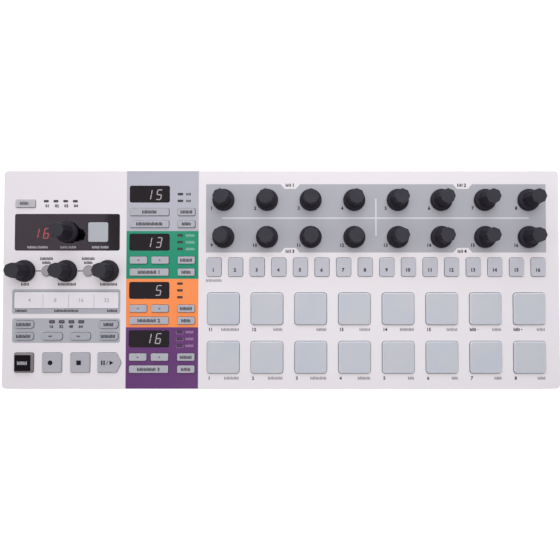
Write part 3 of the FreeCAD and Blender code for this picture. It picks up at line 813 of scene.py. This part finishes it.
lightFrames, lightLenses = zip(*[modelLight(solid) for solid in solids["status_lights"]])
settle(joinPieces(lightFrames, "lightFrames"), "root", "light_smoke", "lightFrame", "status_lights")
settle(joinPieces(lightLenses, "lightLenses"), "root", "light_smoke", "lightLens")


# Digits of seven bars behind the panes

digitLook = {**lengths(height=7.9, width=4.1, bar=0.66, gap=0.18, pitch=7.6, thickness=0.2, sunk=0.05),
             "cornerShare": 0.42, "slant": math.radians(11)}
barPlaces = {"a": (0, 1), "g": (0, 0), "d": (0, -1), "f": (-1, 0.5), "b": (1, 0.5), "e": (-1, -0.5),
             "c": (1, -0.5)}
barsOf = {"1": "bc", "3": "abgcd", "5": "afgcd", "6": "afgedc"}
trackDigits = {"x": -91.45 * mm, "words": ("15", "13", "5", "16")}
tempoDigits = {"middle": (-175.6 * mm, 34.4 * mm), "words": "16"}


def modelBar(size):
    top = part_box("digit_modules")[1].z
    bar = addTile("bar", (0, 0), size, top - digitLook["sunk"], top + digitLook["thickness"])
    return cutCorners(bar, digitLook["bar"] * digitLook["cornerShare"])


def modelDigits(name, numbers):  # numbers: words and the middle of their last digit
    look = digitLook
    halfHeight = (look["height"] - look["bar"]) / 2
    halfWidth = (look["width"] - look["bar"]) / 2
    upright = modelBar((look["bar"], halfHeight - look["gap"]))
    level = modelBar((2 * halfWidth - look["gap"], look["bar"]))
    pieces = []
    for words, place in numbers:
        for index, digit in enumerate(words):
            middleX = place[0] - (len(words) - 1 - index) * look["pitch"]
            for sideX, sideY in [barPlaces[bar] for bar in barsOf[digit]]:
                offY = sideY * halfHeight
                offset = (middleX + sideX * halfWidth + offY * math.tan(look["slant"]), place[1] + offY, 0)
                bar, turn = (upright, -look["slant"]) if abs(sideY) == 0.5 else (level, 0)
                pieces.append(copyPiece(bar, "bar", offset, turn))
    for master in (upright, level):
        bpy.data.objects.remove(master)
    return joinPieces(pieces, name)


trackPanes = [solid for solid in solids["display_windows"] if not isLarge(solid)]
trackPanes.sort(key=lambda solid: -solid["low"].y)
trackNumbers = [(words, (trackDigits["x"], middleOf(pane).y))
                for words, pane in zip(trackDigits["words"], trackPanes)]
settle(modelDigits("trackDigits", trackNumbers), "root", "digit_black", "litWhite")
tempoNumbers = [(tempoDigits["words"], tempoDigits["middle"])]
settle(modelDigits("tempoDigits", tempoNumbers), "root", "digit_black", "litRed")
print("lights and digits ready")


# Knobs: a flared round skirt that runs up into an eight-sided grip, on a short spindle

knobLook = {  # the radii of the grip run to its flats
    **lengths(skirtRadius=8.2, skirtGap=0.6, skirtEdge=0.7, edge=0.16, neckRadius=6.0, neckHeight=3.3,
              gripBase=5.6, gripTop=5.0, gripCorner=0.3, gripStart=0.4, spindleRadius=2.9),
    "skirtSides": 72, "gripSides": 8, "neckSteps": 5, "hollow": 0.1,  # 0 is a cone, 1 a quarter circle
}


def modelKnob():
    look = knobLook
    low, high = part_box("knob_01")
    centre = boxMiddle("knob_01")
    skirtLow = panelTop + look["skirtGap"]
    skirtTop = skirtLow + look["skirtEdge"]
    neckTop = skirtLow + look["neckHeight"]
    skirt = addRound("knobSkirt", look["skirtRadius"], skirtLow, skirtTop, centre, look["skirtSides"])
    startEdit(skirt)
    bevelEdges(lambda edge: rimAt(skirtTop)(edge) or rimAt(skirtLow)(edge), look["edge"], 2)
    pick("FACE", facesUp)
    start = look["skirtRadius"] - look["edge"]
    radius, height = start, 0.0
    for step in range(1, look["neckSteps"] + 1):  # a cone that is a little hollow
        angle = math.pi / 2 * step / look["neckSteps"]
        nextRadius = start - (look["skirtRadius"] - look["neckRadius"]) * math.sin(angle)
        rise = look["hollow"] * (1 - math.cos(angle)) + (1 - look["hollow"]) * math.sin(angle)
        nextHeight = (look["neckHeight"] - look["skirtEdge"]) * rise
        bpy.ops.mesh.inset(thickness=radius - nextRadius, depth=nextHeight - height)
        radius, height = nextRadius, nextHeight
    endEdit()
    gripRadius = look["gripBase"] / math.cos(math.pi / look["gripSides"])
    gripLow = skirtLow + look["gripStart"]
    grip = addRound("knobGrip", gripRadius, gripLow, neckTop, centre, look["gripSides"])
    startEdit(grip)
    pick("FACE", facesUp)
    raiseFaces(high.z - neckTop)
    share = look["gripTop"] / look["gripBase"]
    bpy.ops.transform.resize(value=(share, share, 1), center_override=(centre.x, centre.y, high.z))
    bevelEdges(lambda edge: riseOf(edge) > mm, look["gripCorner"], 3)
    bevelEdges(rimAt(high.z), look["edge"], 2)
    endEdit()
    spindle = addRound("knobSpindle", look["spindleRadius"], low.z, skirtTop, centre, 32)
    booleanWith(skirt, [grip, spindle], "UNION")
    return smoothByAngle(skirt, 25)


knobMaster = modelKnob()
for node in knobNodes:
    offset = boxMiddle(node) - boxMiddle("knob_01")
    piece = copyPiece(knobMaster, "rubber" + node.title().replace("_", ""), offset)
    settle(piece, node + "_body", "knob_rubber", "knobRubber", node)
bpy.data.objects.remove(knobMaster)
print("knobs ready:", len(knobNodes))


# Printed marks: plain numbers, arrows and rows of ticks, a little above their surface and sunk into it

printLook = {**lengths(half=0.03, bold=0.15, medium=0.13, slim=0.12, pointed=0.08, light=0.06,
                       corner=0.12, fineCorner=0.05), "capShare": 0.73}
tickLook = {**lengths(width=0.64, pitch=0.98, corner=0.06), "heights": (1.0, 0.78, 1.0, 1.0, 0.86)}
marks = {}  # the marks of each body, slot and ink


def keepMark(piece, face, ink):
    marks.setdefault((face["body"], face["slot"], ink), []).append(piece)


def addText(words, middle, height, face, ink="printDark", weight=printLook["bold"]):
    clearSelection()
    bpy.ops.object.text_add()
    piece = bpy.context.object
    piece.data.body = words
    piece.data.size = height / printLook["capShare"]
    piece.data.extrude = printLook["half"]
    piece.data.offset = weight
    piece.data.resolution_u = 2
    bpy.ops.object.convert(target="MESH")
    startEdit(piece)
    bpy.ops.mesh.select_all(action="SELECT")
    bpy.ops.mesh.remove_doubles(threshold=weldReach)
    bpy.ops.mesh.normals_make_consistent(inside=False)
    endEdit()
    low, high = spanOf([vert.co for vert in piece.data.vertices])
    centre = (low + high) / 2
    piece.data.transform(Matrix.Translation((middle[0] - centre.x, middle[1] - centre.y, face["top"])))
    keepMark(piece, face, ink)


def addBar(low, high, face, ink, corner=printLook["corner"]):
    bottom, top = face["top"] - printLook["half"], face["top"] + printLook["half"]
    bar = addBlock("mark", (*low, bottom), (*high, top))
    keepMark(cutCorners(bar, corner), face, ink)


def addSign(sides, radius, middle, face, ink, turn=0.0):  # a disc or a triangle
    top = face["top"] + printLook["half"]
    piece = addRound("mark", radius, face["top"] - printLook["half"], top, (0, 0), sides)
    piece.data.transform(Matrix.Translation((*middle, 0)) @ Matrix.Rotation(turn, 4, "Z"))
    keepMark(cutCorners(piece, printLook["half"] / 2, test=rimAt(top)), face, ink)


# One upright tick, 1 mm high, stands on the origin and is copied
tickMaster = addBlock("tick", (-tickLook["width"] / 2, 0, -printLook["half"]),
                      (tickLook["width"] / 2, mm, printLook["half"]))
cutCorners(tickMaster, tickLook["corner"])


def addTicks(left, right, y, height, face, ink="printDark"):  # uneven ticks in place of words
    count = max(2, round((right - left) / tickLook["pitch"]))
    for index in range(count):
        share = tickLook["heights"][index % len(tickLook["heights"])]
        place = (left + (right - left) * (index + 0.5) / count, y - height / 2, face["top"])
        keepMark(copyPiece(tickMaster, "tick", place, stretch=share * height / mm), face, ink)


def addTicksAt(middle, half, height, face, ink="printDark"):
    addTicks(middle[0] - half * mm, middle[0] + half * mm, middle[1], height, face, ink)


def pixelTicks(row, face, ink="printDark"):  # ends and middle are pixels of the photograph
    for ends in row["ends"]:
        (left, y), (right, _) = [onPanel(end, row["y"]) for end in ends]
        addTicks(left, right, y, row["height"] * mm, face, ink)


def pixelTexts(row, face, ink="printDark"):
    for words, x in row["words"].items():
        addText(words, onPanel(x, row["y"]), row["height"] * mm, face, ink, printLook[row["weight"]])


def faceOf(node, body="root", slot="key_grey"):
    return {"body": body, "slot": slot, "top": solids[node][0]["high"].z}


def keyFace(node):
    return faceOf(node, node + "_body")


def shifted(solid, offX=0.0, offY=0.0):
    middle = middleOf(solid)
    return middle.x + offX * mm, middle.y + offY * mm


panelFace = {"body": "root", "slot": "case_white", "top": panelTop}
paneFace = faceOf("display_windows", slot="window_smoke")
stripFace = faceOf("touch_strip", slot="strip_white")
shiftFace = faceOf("shift_key", "shift_key_body", "shift_black")
medium, fineCorner = printLook["medium"], printLook["fineCorner"]

# Numbers on the step keys and beside the knobs
numberLook = {**lengths(keyHeight=2.6, knobHeight=2.5, knobX=-8.9, knobY=-6.1), "keyOff": (-0.4, -2.1)}
stepSolids = sorted(solids["step_keys"], key=lambda solid: solid["low"].x)
for index, (solid, node) in enumerate(zip(stepSolids, knobNodes)):
    words = str(index + 1)
    addText(words, shifted(solid, *numberLook["keyOff"]), numberLook["keyHeight"], keyFace("step_keys"))
    middle = boxMiddle(node)
    place = (middle.x + numberLook["knobX"], middle.y + numberLook["knobY"])
    addText(words, place, numberLook["knobHeight"], panelFace, weight=medium)

# Marks on the track keys: a row of ticks or an arrow, and a number on the wide keys
trackKeyLook = {**lengths(ticks=2.5, arrow=1.5, number=2.5), "numberRoom": 3, "fromEnd": 0.9}
trackKeyMarks = [("ticks", 10.8), ("ticks", 9.0), ("ticks", 19.6), ("ticks", 6.8)]
for number in "123":
    trackKeyMarks += [("<", 0), (">", 0), ("ticks", 9.0), (number, 16.8), ("ticks", 7.0)]
for (kind, length), solid in zip(trackKeyMarks, solids["track_keys"]):
    face = keyFace("track_keys")
    if kind in "<>":
        addText(kind, shifted(solid), trackKeyLook["arrow"], face, weight=printLook["slim"])
    elif kind == "ticks":
        addTicksAt(shifted(solid), length / 2, trackKeyLook["ticks"], face)
    else:  # the number stands at the end of the ticks
        room = trackKeyLook["numberRoom"]
        addTicksAt(shifted(solid, -room / 2), (length - room) / 2, trackKeyLook["ticks"], face)
        addText(kind, shifted(solid, length / 2 - trackKeyLook["fromEnd"]), trackKeyLook["number"], face)

# Marks on the link keys: an arrow, or half the length of the ticks and their shift
linkLook = {**lengths(ticks=2.6, arrow=1.6), "arrowShift": -1.2,
            "marks": ((5.4, -0.2), (3.7, 0.1), (5.4, -0.2), "<<", ">>", (5.4, -0.2))}
for mark, solid in zip(linkLook["marks"], solids["link_keys"]):
    face = keyFace("link_keys")
    if isinstance(mark, str):
        addText(mark, shifted(solid, linkLook["arrowShift"]), linkLook["arrow"], face, weight=medium)
    else:
        addTicksAt(shifted(solid, mark[1]), mark[0], linkLook["ticks"], face)

syncLook = {"shift": (-0.7, 0.2), "half": 3.3, "height": 2.4 * mm}
syncMiddle = shifted(solids["sync_key"][0], *syncLook["shift"])
addTicksAt(syncMiddle, syncLook["half"], syncLook["height"], keyFace("sync_key"), "printMid")

# Marks in front of the pads: a number or a sign on the left, grey ticks on the right
padMarks = {
    **lengths(below=3.5, height=2.4, signTicks=4.8, signX=6.2, sign=1.1, start=0.6, halfDigit=0.9,
              greyHeight=2.2, fromRight=0.2),
    "words": ("11", "12", "", "13", "14", "15", "-", "+", *"12345678"),
    "greyLengths": (13.2, 7.0, 7.4, 8.0, 10.4, 8.2, 6.8, 6.2, 11.0, 11.0, 12.0, 9.4, 4.6, 4.6, 5.4, 6.0),
}
for words, length, solid in zip(padMarks["words"], padMarks["greyLengths"], solids["pads"]):
    left, right = solid["capLow"].x, solid["capHigh"].x - padMarks["fromRight"]
    y = solid["capLow"].y - padMarks["below"]
    if words in ("-", "+"):
        addTicks(left, left + padMarks["signTicks"], y, padMarks["height"], panelFace)
        addText(words, (left + padMarks["signX"], y), padMarks["sign"], panelFace)
    elif words:
        place = (left + padMarks["start"] + padMarks["halfDigit"] * len(words), y)
        addText(words, place, padMarks["height"], panelFace, weight=medium)
    addTicks(right - length * mm, right, y, padMarks["greyHeight"], panelFace, "printGrey")

# Marks that were placed by the photograph: places are its pixels, heights are in millimetres
fieldEnds = ((285.3, 291.1), (457.6, 463.4))
tickRows = {
    "fieldRear": {"y": 184.6, "ends": fieldEnds, "height": 2.4},
    "fieldFront": {"y": 251.0, "ends": fieldEnds, "height": 2.4},
    "underKnobs": {"y": 284.0, "ends": ((20.8, 29.2), (57.8, 76.0), (100.0, 117.2)), "height": 2.1},
    "overButtons": {"y": 258.4, "ends": ((39.8, 52.8), (81.6, 94.6)), "height": 2.2},
    "nearButtons": {"y": 262.4, "ends": ((42.0, 50.6), (83.8, 92.4)), "height": 2.1},
    "underStrip": {"y": 310.5, "ends": ((15.6, 27.2), (54.4, 78.8), (107.2, 117.4)), "height": 1.9},
}
numberRows = {
    "fieldRear": {"y": 184.6, "words": {"1": 293.3, "2": 465.6}, "height": 2.5, "weight": "bold"},
    "fieldFront": {"y": 251.0, "words": {"3": 293.3, "4": 465.6}, "height": 2.5, "weight": "bold"},
    "syncLights": {"y": 205.4, "words": {"01": 46.3, "02": 56.1, "03": 65.5, "04": 75.2}, "height": 2.2,
                   "weight": "medium"},
    "linkLights": {"y": 326.2, "words": {"16": 52.0, "32": 61.7, "48": 71.4, "64": 81.2}, "height": 2.2,
                   "weight": "slim"},
}
for row in tickRows.values():
    pixelTicks(row, panelFace)
for row in numberRows.values():
    pixelTexts(row, panelFace)
pixelTicks({"y": 280.2, "ends": ((205.8, 221.8),), "height": 2.1}, panelFace, "printPale")

windowMarks = {**lengths(stroke=2.1, gap=0.7, height=1.8), "y": 246.9,
               "ends": ((26.8, 47.6), (59.8, 75.8), (91.4, 108.2))}
for ends in windowMarks["ends"]:  # under the digits, the knob and the tap key
    (first, y), (last, _) = [onPanel(end, windowMarks["y"]) for end in ends]
    middle = (first + last) / 2
    addText("/", (middle, y), windowMarks["stroke"], paneFace, "printLine", printLook["light"])
    for left, right in ((first, middle - windowMarks["gap"]), (middle + windowMarks["gap"], last)):
        addTicks(left, right, y, windowMarks["height"], paneFace, "printLine")

stripMarks = {**lengths(half=0.16, front=0.6, rear=1.8), "lines": (43.1, 68.8, 94.1)}
stripNumbers = {"y": 299.9, "words": {"4": 29.6, "8": 55.4, "16": 81.4, "32": 106.9}, "height": 2.9,
                "weight": "light"}
strip = solids["touch_strip"][0]
for pixelX in stripMarks["lines"]:
    x, half = onPanel(pixelX, 0)[0], stripMarks["half"]
    low, high = strip["capLow"].y + stripMarks["front"], strip["capHigh"].y - stripMarks["rear"]
    addBar((x - half, low), (x + half, high), stripFace, "printLine", fineCorner)
pixelTexts(stripNumbers, stripFace, "printLine")

# Ticks beside the lights of the tracks: first light of the track, length and ink
lightMarks = {**lengths(columnLeft=-100, gap=4.2, height=1.9, out=0.5, line=0.22, seam=0.02),
              "tracks": ((0, 3.6, "printMid"), (2, 6.6, "printMint"), (5, 0, ""), (8, 6.0, "printLilac"))}
trackLights = [solid for solid in solids["status_lights"] if solid["low"].x > lightMarks["columnLeft"]]
trackLights.sort(key=lambda solid: -solid["low"].y)
out, line, seam = lightMarks["out"], lightMarks["line"], lightMarks["seam"]
for index, solid in enumerate(trackLights):
    start, reach, ink = [track for track in lightMarks["tracks"] if track[0] <= index][-1]
    x, y = shifted(solid)
    if reach:
        left = x + lightMarks["gap"]
        addTicks(left, left + reach * mm, y, lightMarks["height"], panelFace, ink)
    if ink == "printLilac":  # these lights have a thin line round three sides
        low, high = solid["low"], solid["high"]
        for left in (low.x - out - line, high.x + out):
            addBar((left, low.y - out + seam), (left + line, high.y), panelFace, ink, fineCorner)
        addBar((low.x - out - line, low.y - out - line), (high.x + out + line, low.y - out),
               panelFace, ink, fineCorner)

# Signs on the record, stop and play keys, from the left edge of the play key
signLook = {**lengths(disc=1.8, half=1.7, barWidth=1.05, barCorner=0.08, stroke=7.3, strokeHeight=3.1,
                      point=10.0, pointRadius=1.95),
            "bars": (2.8, 4.5), "discShift": -1.0, "stopShift": -0.8}
half = signLook["half"]
recordMiddle = shifted(recordSolid, signLook["discShift"])
addSign(40, signLook["disc"], recordMiddle, keyFace("record_key"), "printBlack")
stopX, stopY = shifted(solids["stop_key"][0], signLook["stopShift"])
addBar((stopX - half, stopY - half), (stopX + half, stopY + half), keyFace("stop_key"), "printBlack")
playX, playY = solids["play_key"][0]["capLow"].x, middleOf(solids["play_key"][0]).y
playFace = keyFace("play_key")
for start in signLook["bars"]:
    left = playX + start * mm
    addBar((left, playY - half), (left + signLook["barWidth"], playY + half), playFace, "printBlack",
           signLook["barCorner"])
strokePlace, pointPlace = [(playX + signLook[name], playY) for name in ("stroke", "point")]
addText("/", strokePlace, signLook["strokeHeight"], playFace, "printBlack", printLook["pointed"])
addSign(3, signLook["pointRadius"], pointPlace, playFace, "printBlack", -math.pi / 2)

shiftMarks = {"shift": -0.15, "half": 3.7, "height": 2.6 * mm}
shiftMiddle = shifted(shiftSolid, shiftMarks["shift"])
addTicksAt(shiftMiddle, shiftMarks["half"], shiftMarks["height"], shiftFace, "printLine")
bpy.data.objects.remove(tickMaster)

for index, ((body, slot, ink), pieces) in enumerate(sorted(marks.items(), key=lambda item: item[0])):
    settle(joinPieces(pieces, f"marks{index:02d}"), body, slot, ink)
print("marks ready:", len(marks))


# Rear and underside: a plate with round holes, sockets with a bright ring, feet and screws

rearLook = lengths(plateEdge=0.2, socketHole=3.1, usbGap=0.35, slotFromSide=18.9, slotHalfX=3.5,
                   slotHalfZ=1.5, slotCorner=0.9)
socketLook = lengths(depth=12.6, edge=0.35, nose=2.8, bore=1.8, endWall=0.4, noseStart=0.3, ringDepth=0.5,
                     ringEdge=0.12)
footLook = lengths(edge=0.5, rim=1.3, hollow=0.15)
screwLook = {**lengths(radius=2.7, height=0.6, edge=0.3, slotWidth=0.6, slotLength=3.0, slotDepth=0.4,
                       inset=9.0, sunk=0.1), "places": (-1, -0.5, 0, 0.5, 1), "turn": math.radians(35)}


def addRod(name, radius, low, high, middle, sides=40):  # a round bar along Y
    rod = addRound(name, radius, low, high, (0, 0), sides)
    rod.data.transform(Matrix.Translation((middle.x, 0, middle.z)) @ Matrix.Rotation(-math.pi / 2, 4, "X"))
    return rod


def modelRearPlate():
    look = rearLook
    low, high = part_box("rear_panel")
    start, end = low.y - mm, high.y + mm
    plate = addBlock("rearPlate", low, high)
    cutCorners(plate, look["plateEdge"], 2, edgesFrom(1, high.y))
    cutters = [addRod("cutter", look["socketHole"], start, end, (solid["low"] + solid["high"]) / 2)
               for solid in solids["jack_sockets"]]
    usbLow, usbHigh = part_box("usb_socket")
    gap = look["usbGap"]
    slotX, slotZ = cadHigh.x - look["slotFromSide"], (low.z + high.z) / 2
    halfX, halfZ = look["slotHalfX"], look["slotHalfZ"]
    for left, right, bottom, top in ((usbLow.x - gap, usbHigh.x + gap, usbLow.z - gap, usbHigh.z + gap),
                                     (slotX - halfX, slotX + halfX, slotZ - halfZ, slotZ + halfZ)):
        cutter = addBlock("cutter", (left, start, bottom), (right, end, top))
        cutters.append(cutCorners(cutter, look["slotCorner"], 4, lambda edge: isAlong(edge, 1)))
    booleanWith(plate, [joinPieces(cutters, "cutters")], "DIFFERENCE")
    return smoothByAngle(plate, 30)


def modelSockets():
    look = socketLook
    low, high = solids["jack_sockets"][0]["low"], solids["jack_sockets"][0]["high"]
    middle = (low + high) / 2
    front, ringStart = low.y + look["depth"], high.y - look["ringDepth"]
    body = addBlock("socket", low, (high.x, front, high.z))
    cutCorners(body, look["edge"], 2, edgesFrom(2, high.z))
    nose = addRod("nose", look["nose"], front - look["noseStart"], ringStart, middle)
    booleanWith(body, [nose], "UNION")
    ring = addRod("ring", look["nose"], ringStart, high.y, middle)
    cutCorners(ring, look["ringEdge"], 2, edgesFrom(1, high.y))
    for piece, start in ((body, low.y + look["endWall"]), (ring, low.y)):
        bore = addRod("bore", look["bore"], start, high.y + mm, middle)
        smoothByAngle(booleanWith(piece, [bore], "DIFFERENCE"))
    offsets = [solid["low"] - low for solid in solids["jack_sockets"][1:]]
    for piece, name in ((body, "socketBodies"), (ring, "socketRings")):
        joinPieces([piece] + [copyPiece(piece, name, offset) for offset in offsets], name)
    return body, ring


def modelFoot(solid):
    look = footLook
    low, high = solid["low"], solid["high"]
    foot = addRound("foot", (high.x - low.x) / 2, low.z, high.z, (low + high) / 2)
    startEdit(foot)
    bevelEdges(rimAt(low.z), look["edge"], 3)
    insetFaces(lambda face: face.normal.z < -0.99, look["rim"])
    bpy.ops.mesh.inset(thickness=look["hollow"], depth=-look["hollow"])
    endEdit()
    return smoothByAngle(foot)


def modelScrews():
    look = screwLook
    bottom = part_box("base_plate")[0].z
    under = bottom - look["height"]
    head = addRound("screw", look["radius"], under, bottom + look["sunk"], (0, 0), 32)
    cutCorners(head, look["edge"], 3, rimAt(under))
    sizes = ((look["slotWidth"], look["slotLength"]), (look["slotLength"], look["slotWidth"]))
    cross = [addTile("cross", (0, 0), size, under - mm, under + look["slotDepth"]) for size in sizes]
    smoothByAngle(booleanWith(head, cross, "DIFFERENCE"))
    screws = []
    for side in (1, -1):
        for share in look["places"]:
            place = (share * (cadHigh.x - look["inset"]), side * (cadHigh.y - look["inset"]), 0)
            screws.append(copyPiece(head, "screw", place, look["turn"] * len(screws)))
    bpy.data.objects.remove(head)
    return joinPieces(screws, "baseScrews")


settle(modelRearPlate(), "root", "rear_plastic", "caseWhite", "rear_panel")
socketBodies, socketRings = modelSockets()
settle(socketBodies, "root", "socket_black", "socketBlack", "jack_sockets")
settle(socketRings, "root", "usb_metal", "contactMetal")
feet = joinPieces([modelFoot(solid) for solid in solids["rubber_feet"]], "domedFeet")
settle(feet, "root", "foot_rubber", "footRubber", "rubber_feet")
settle(modelScrews(), "root", "base_metal", "screwSteel")
print("rear and underside ready")


# Studio: a pale floor, a soft sky and soft lamps; the camera stands where the photograph's did

studio = {
    "skyStrength": 0.38,
    "lamps": {  # place, size, power and colour
        "leftBox": ((-1.07, 0.1, 1.2), (0.8, 1.3), 3.9, (1.0, 0.93, 1.0)),
        "rearBox": ((0.05, 1.0, 0.45), (1.6, 0.5), 7.2, (0.92, 0.95, 1.0)),
        "keyLamp": ((0.08, 0.16, 0.545), (0.4, 0.35), 1.49, (1.0, 0.99, 0.98)),
    },
    "floorSize": 6.0,
    "floor": surface((238, 238, 238), (242, 242, 242), 0.8, patchScale=3, bump=0.05),
    "floorLift": 0.62,
}
cameraLook = {"sensor": 36, "lens": 27.22, "height": 333.3 * mm, "tilt": math.radians(1.05),
              "shift": (-0.0357, -0.0045), "clip": (0.01, 20)}


def mixForRays(tree, other, shown):  # shown to the camera, also through glass and off gloss
    path = addNode(tree, "LightPath").outputs
    seen = calculate(tree, "MAXIMUM", path["Is Camera Ray"], path["Is Transmission Ray"])
    seen = calculate(tree, "MAXIMUM", seen, path["Is Glossy Ray"])
    return addNode(tree, "MixShader", {"Fac": seen, 1: other.outputs[0], 2: shown.outputs[0]}).outputs[0]


def makeStudio():
    world = bpy.data.worlds.new("softSky")
    bpy.context.scene.world = world
    world.use_nodes = True
    tree = world.node_tree
    light = setInputs(tree.nodes["Background"], {"Color": (1, 1, 1, 1), "Strength": studio["skyStrength"]})
    white = addNode(tree, "Background", {"Color": (1, 1, 1, 1)})
    setInputs(tree.nodes["World Output"], {"Surface": mixForRays(tree, light, white)})
    for name, (place, size, power, colour) in studio["lamps"].items():
        data = bpy.data.lights.new(name, "AREA")
        data.shape = "RECTANGLE"
        data.size, data.size_y = size
        data.energy = power
        data.color = colour
        lamp = bpy.data.objects.new(name, data)
        bpy.context.collection.objects.link(lamp)
        lamp.location = place
        if name != "leftBox":  # this one points straight down
            lamp.rotation_euler = (-Vector(place)).to_track_quat("-Z", "Y").to_euler()
    clearSelection()
    bpy.ops.mesh.primitive_plane_add(size=studio["floorSize"], location=(0, 0, cadLow.z))
    floor = applyPlace("floor")
    material = makeMaterial("paleFloor", studio["floor"])
    tree = material.node_tree
    dark = addNode(tree, "Emission", {"Strength": 0.0})
    glow = addNode(tree, "Emission", {"Strength": studio["floorLift"]})
    lit = tree.nodes["Principled BSDF"].outputs[0]
    both = addNode(tree, "AddShader", {0: lit, 1: mixForRays(tree, dark, glow)})
    setInputs(tree.nodes["Material Output"], {"Surface": both.outputs[0]})
    dress(floor, material)


def makeCamera():
    data = bpy.data.cameras.new("photoCamera")
    data.sensor_width = cameraLook["sensor"]
    data.lens = cameraLook["lens"]
    data.shift_x, data.shift_y = cameraLook["shift"]
    data.clip_start, data.clip_end = cameraLook["clip"]
    camera = bpy.data.objects.new("photoCamera", data)
    bpy.context.collection.objects.link(camera)
    camera.location = (*lensPlace, cameraLook["height"])
    camera.rotation_euler = (cameraLook["tilt"], 0, 0)
    bpy.context.scene.camera = camera


makeStudio()
makeCamera()
bpy.context.scene.view_settings.view_transform = "Standard"
print("studio ready")

clearSelection()
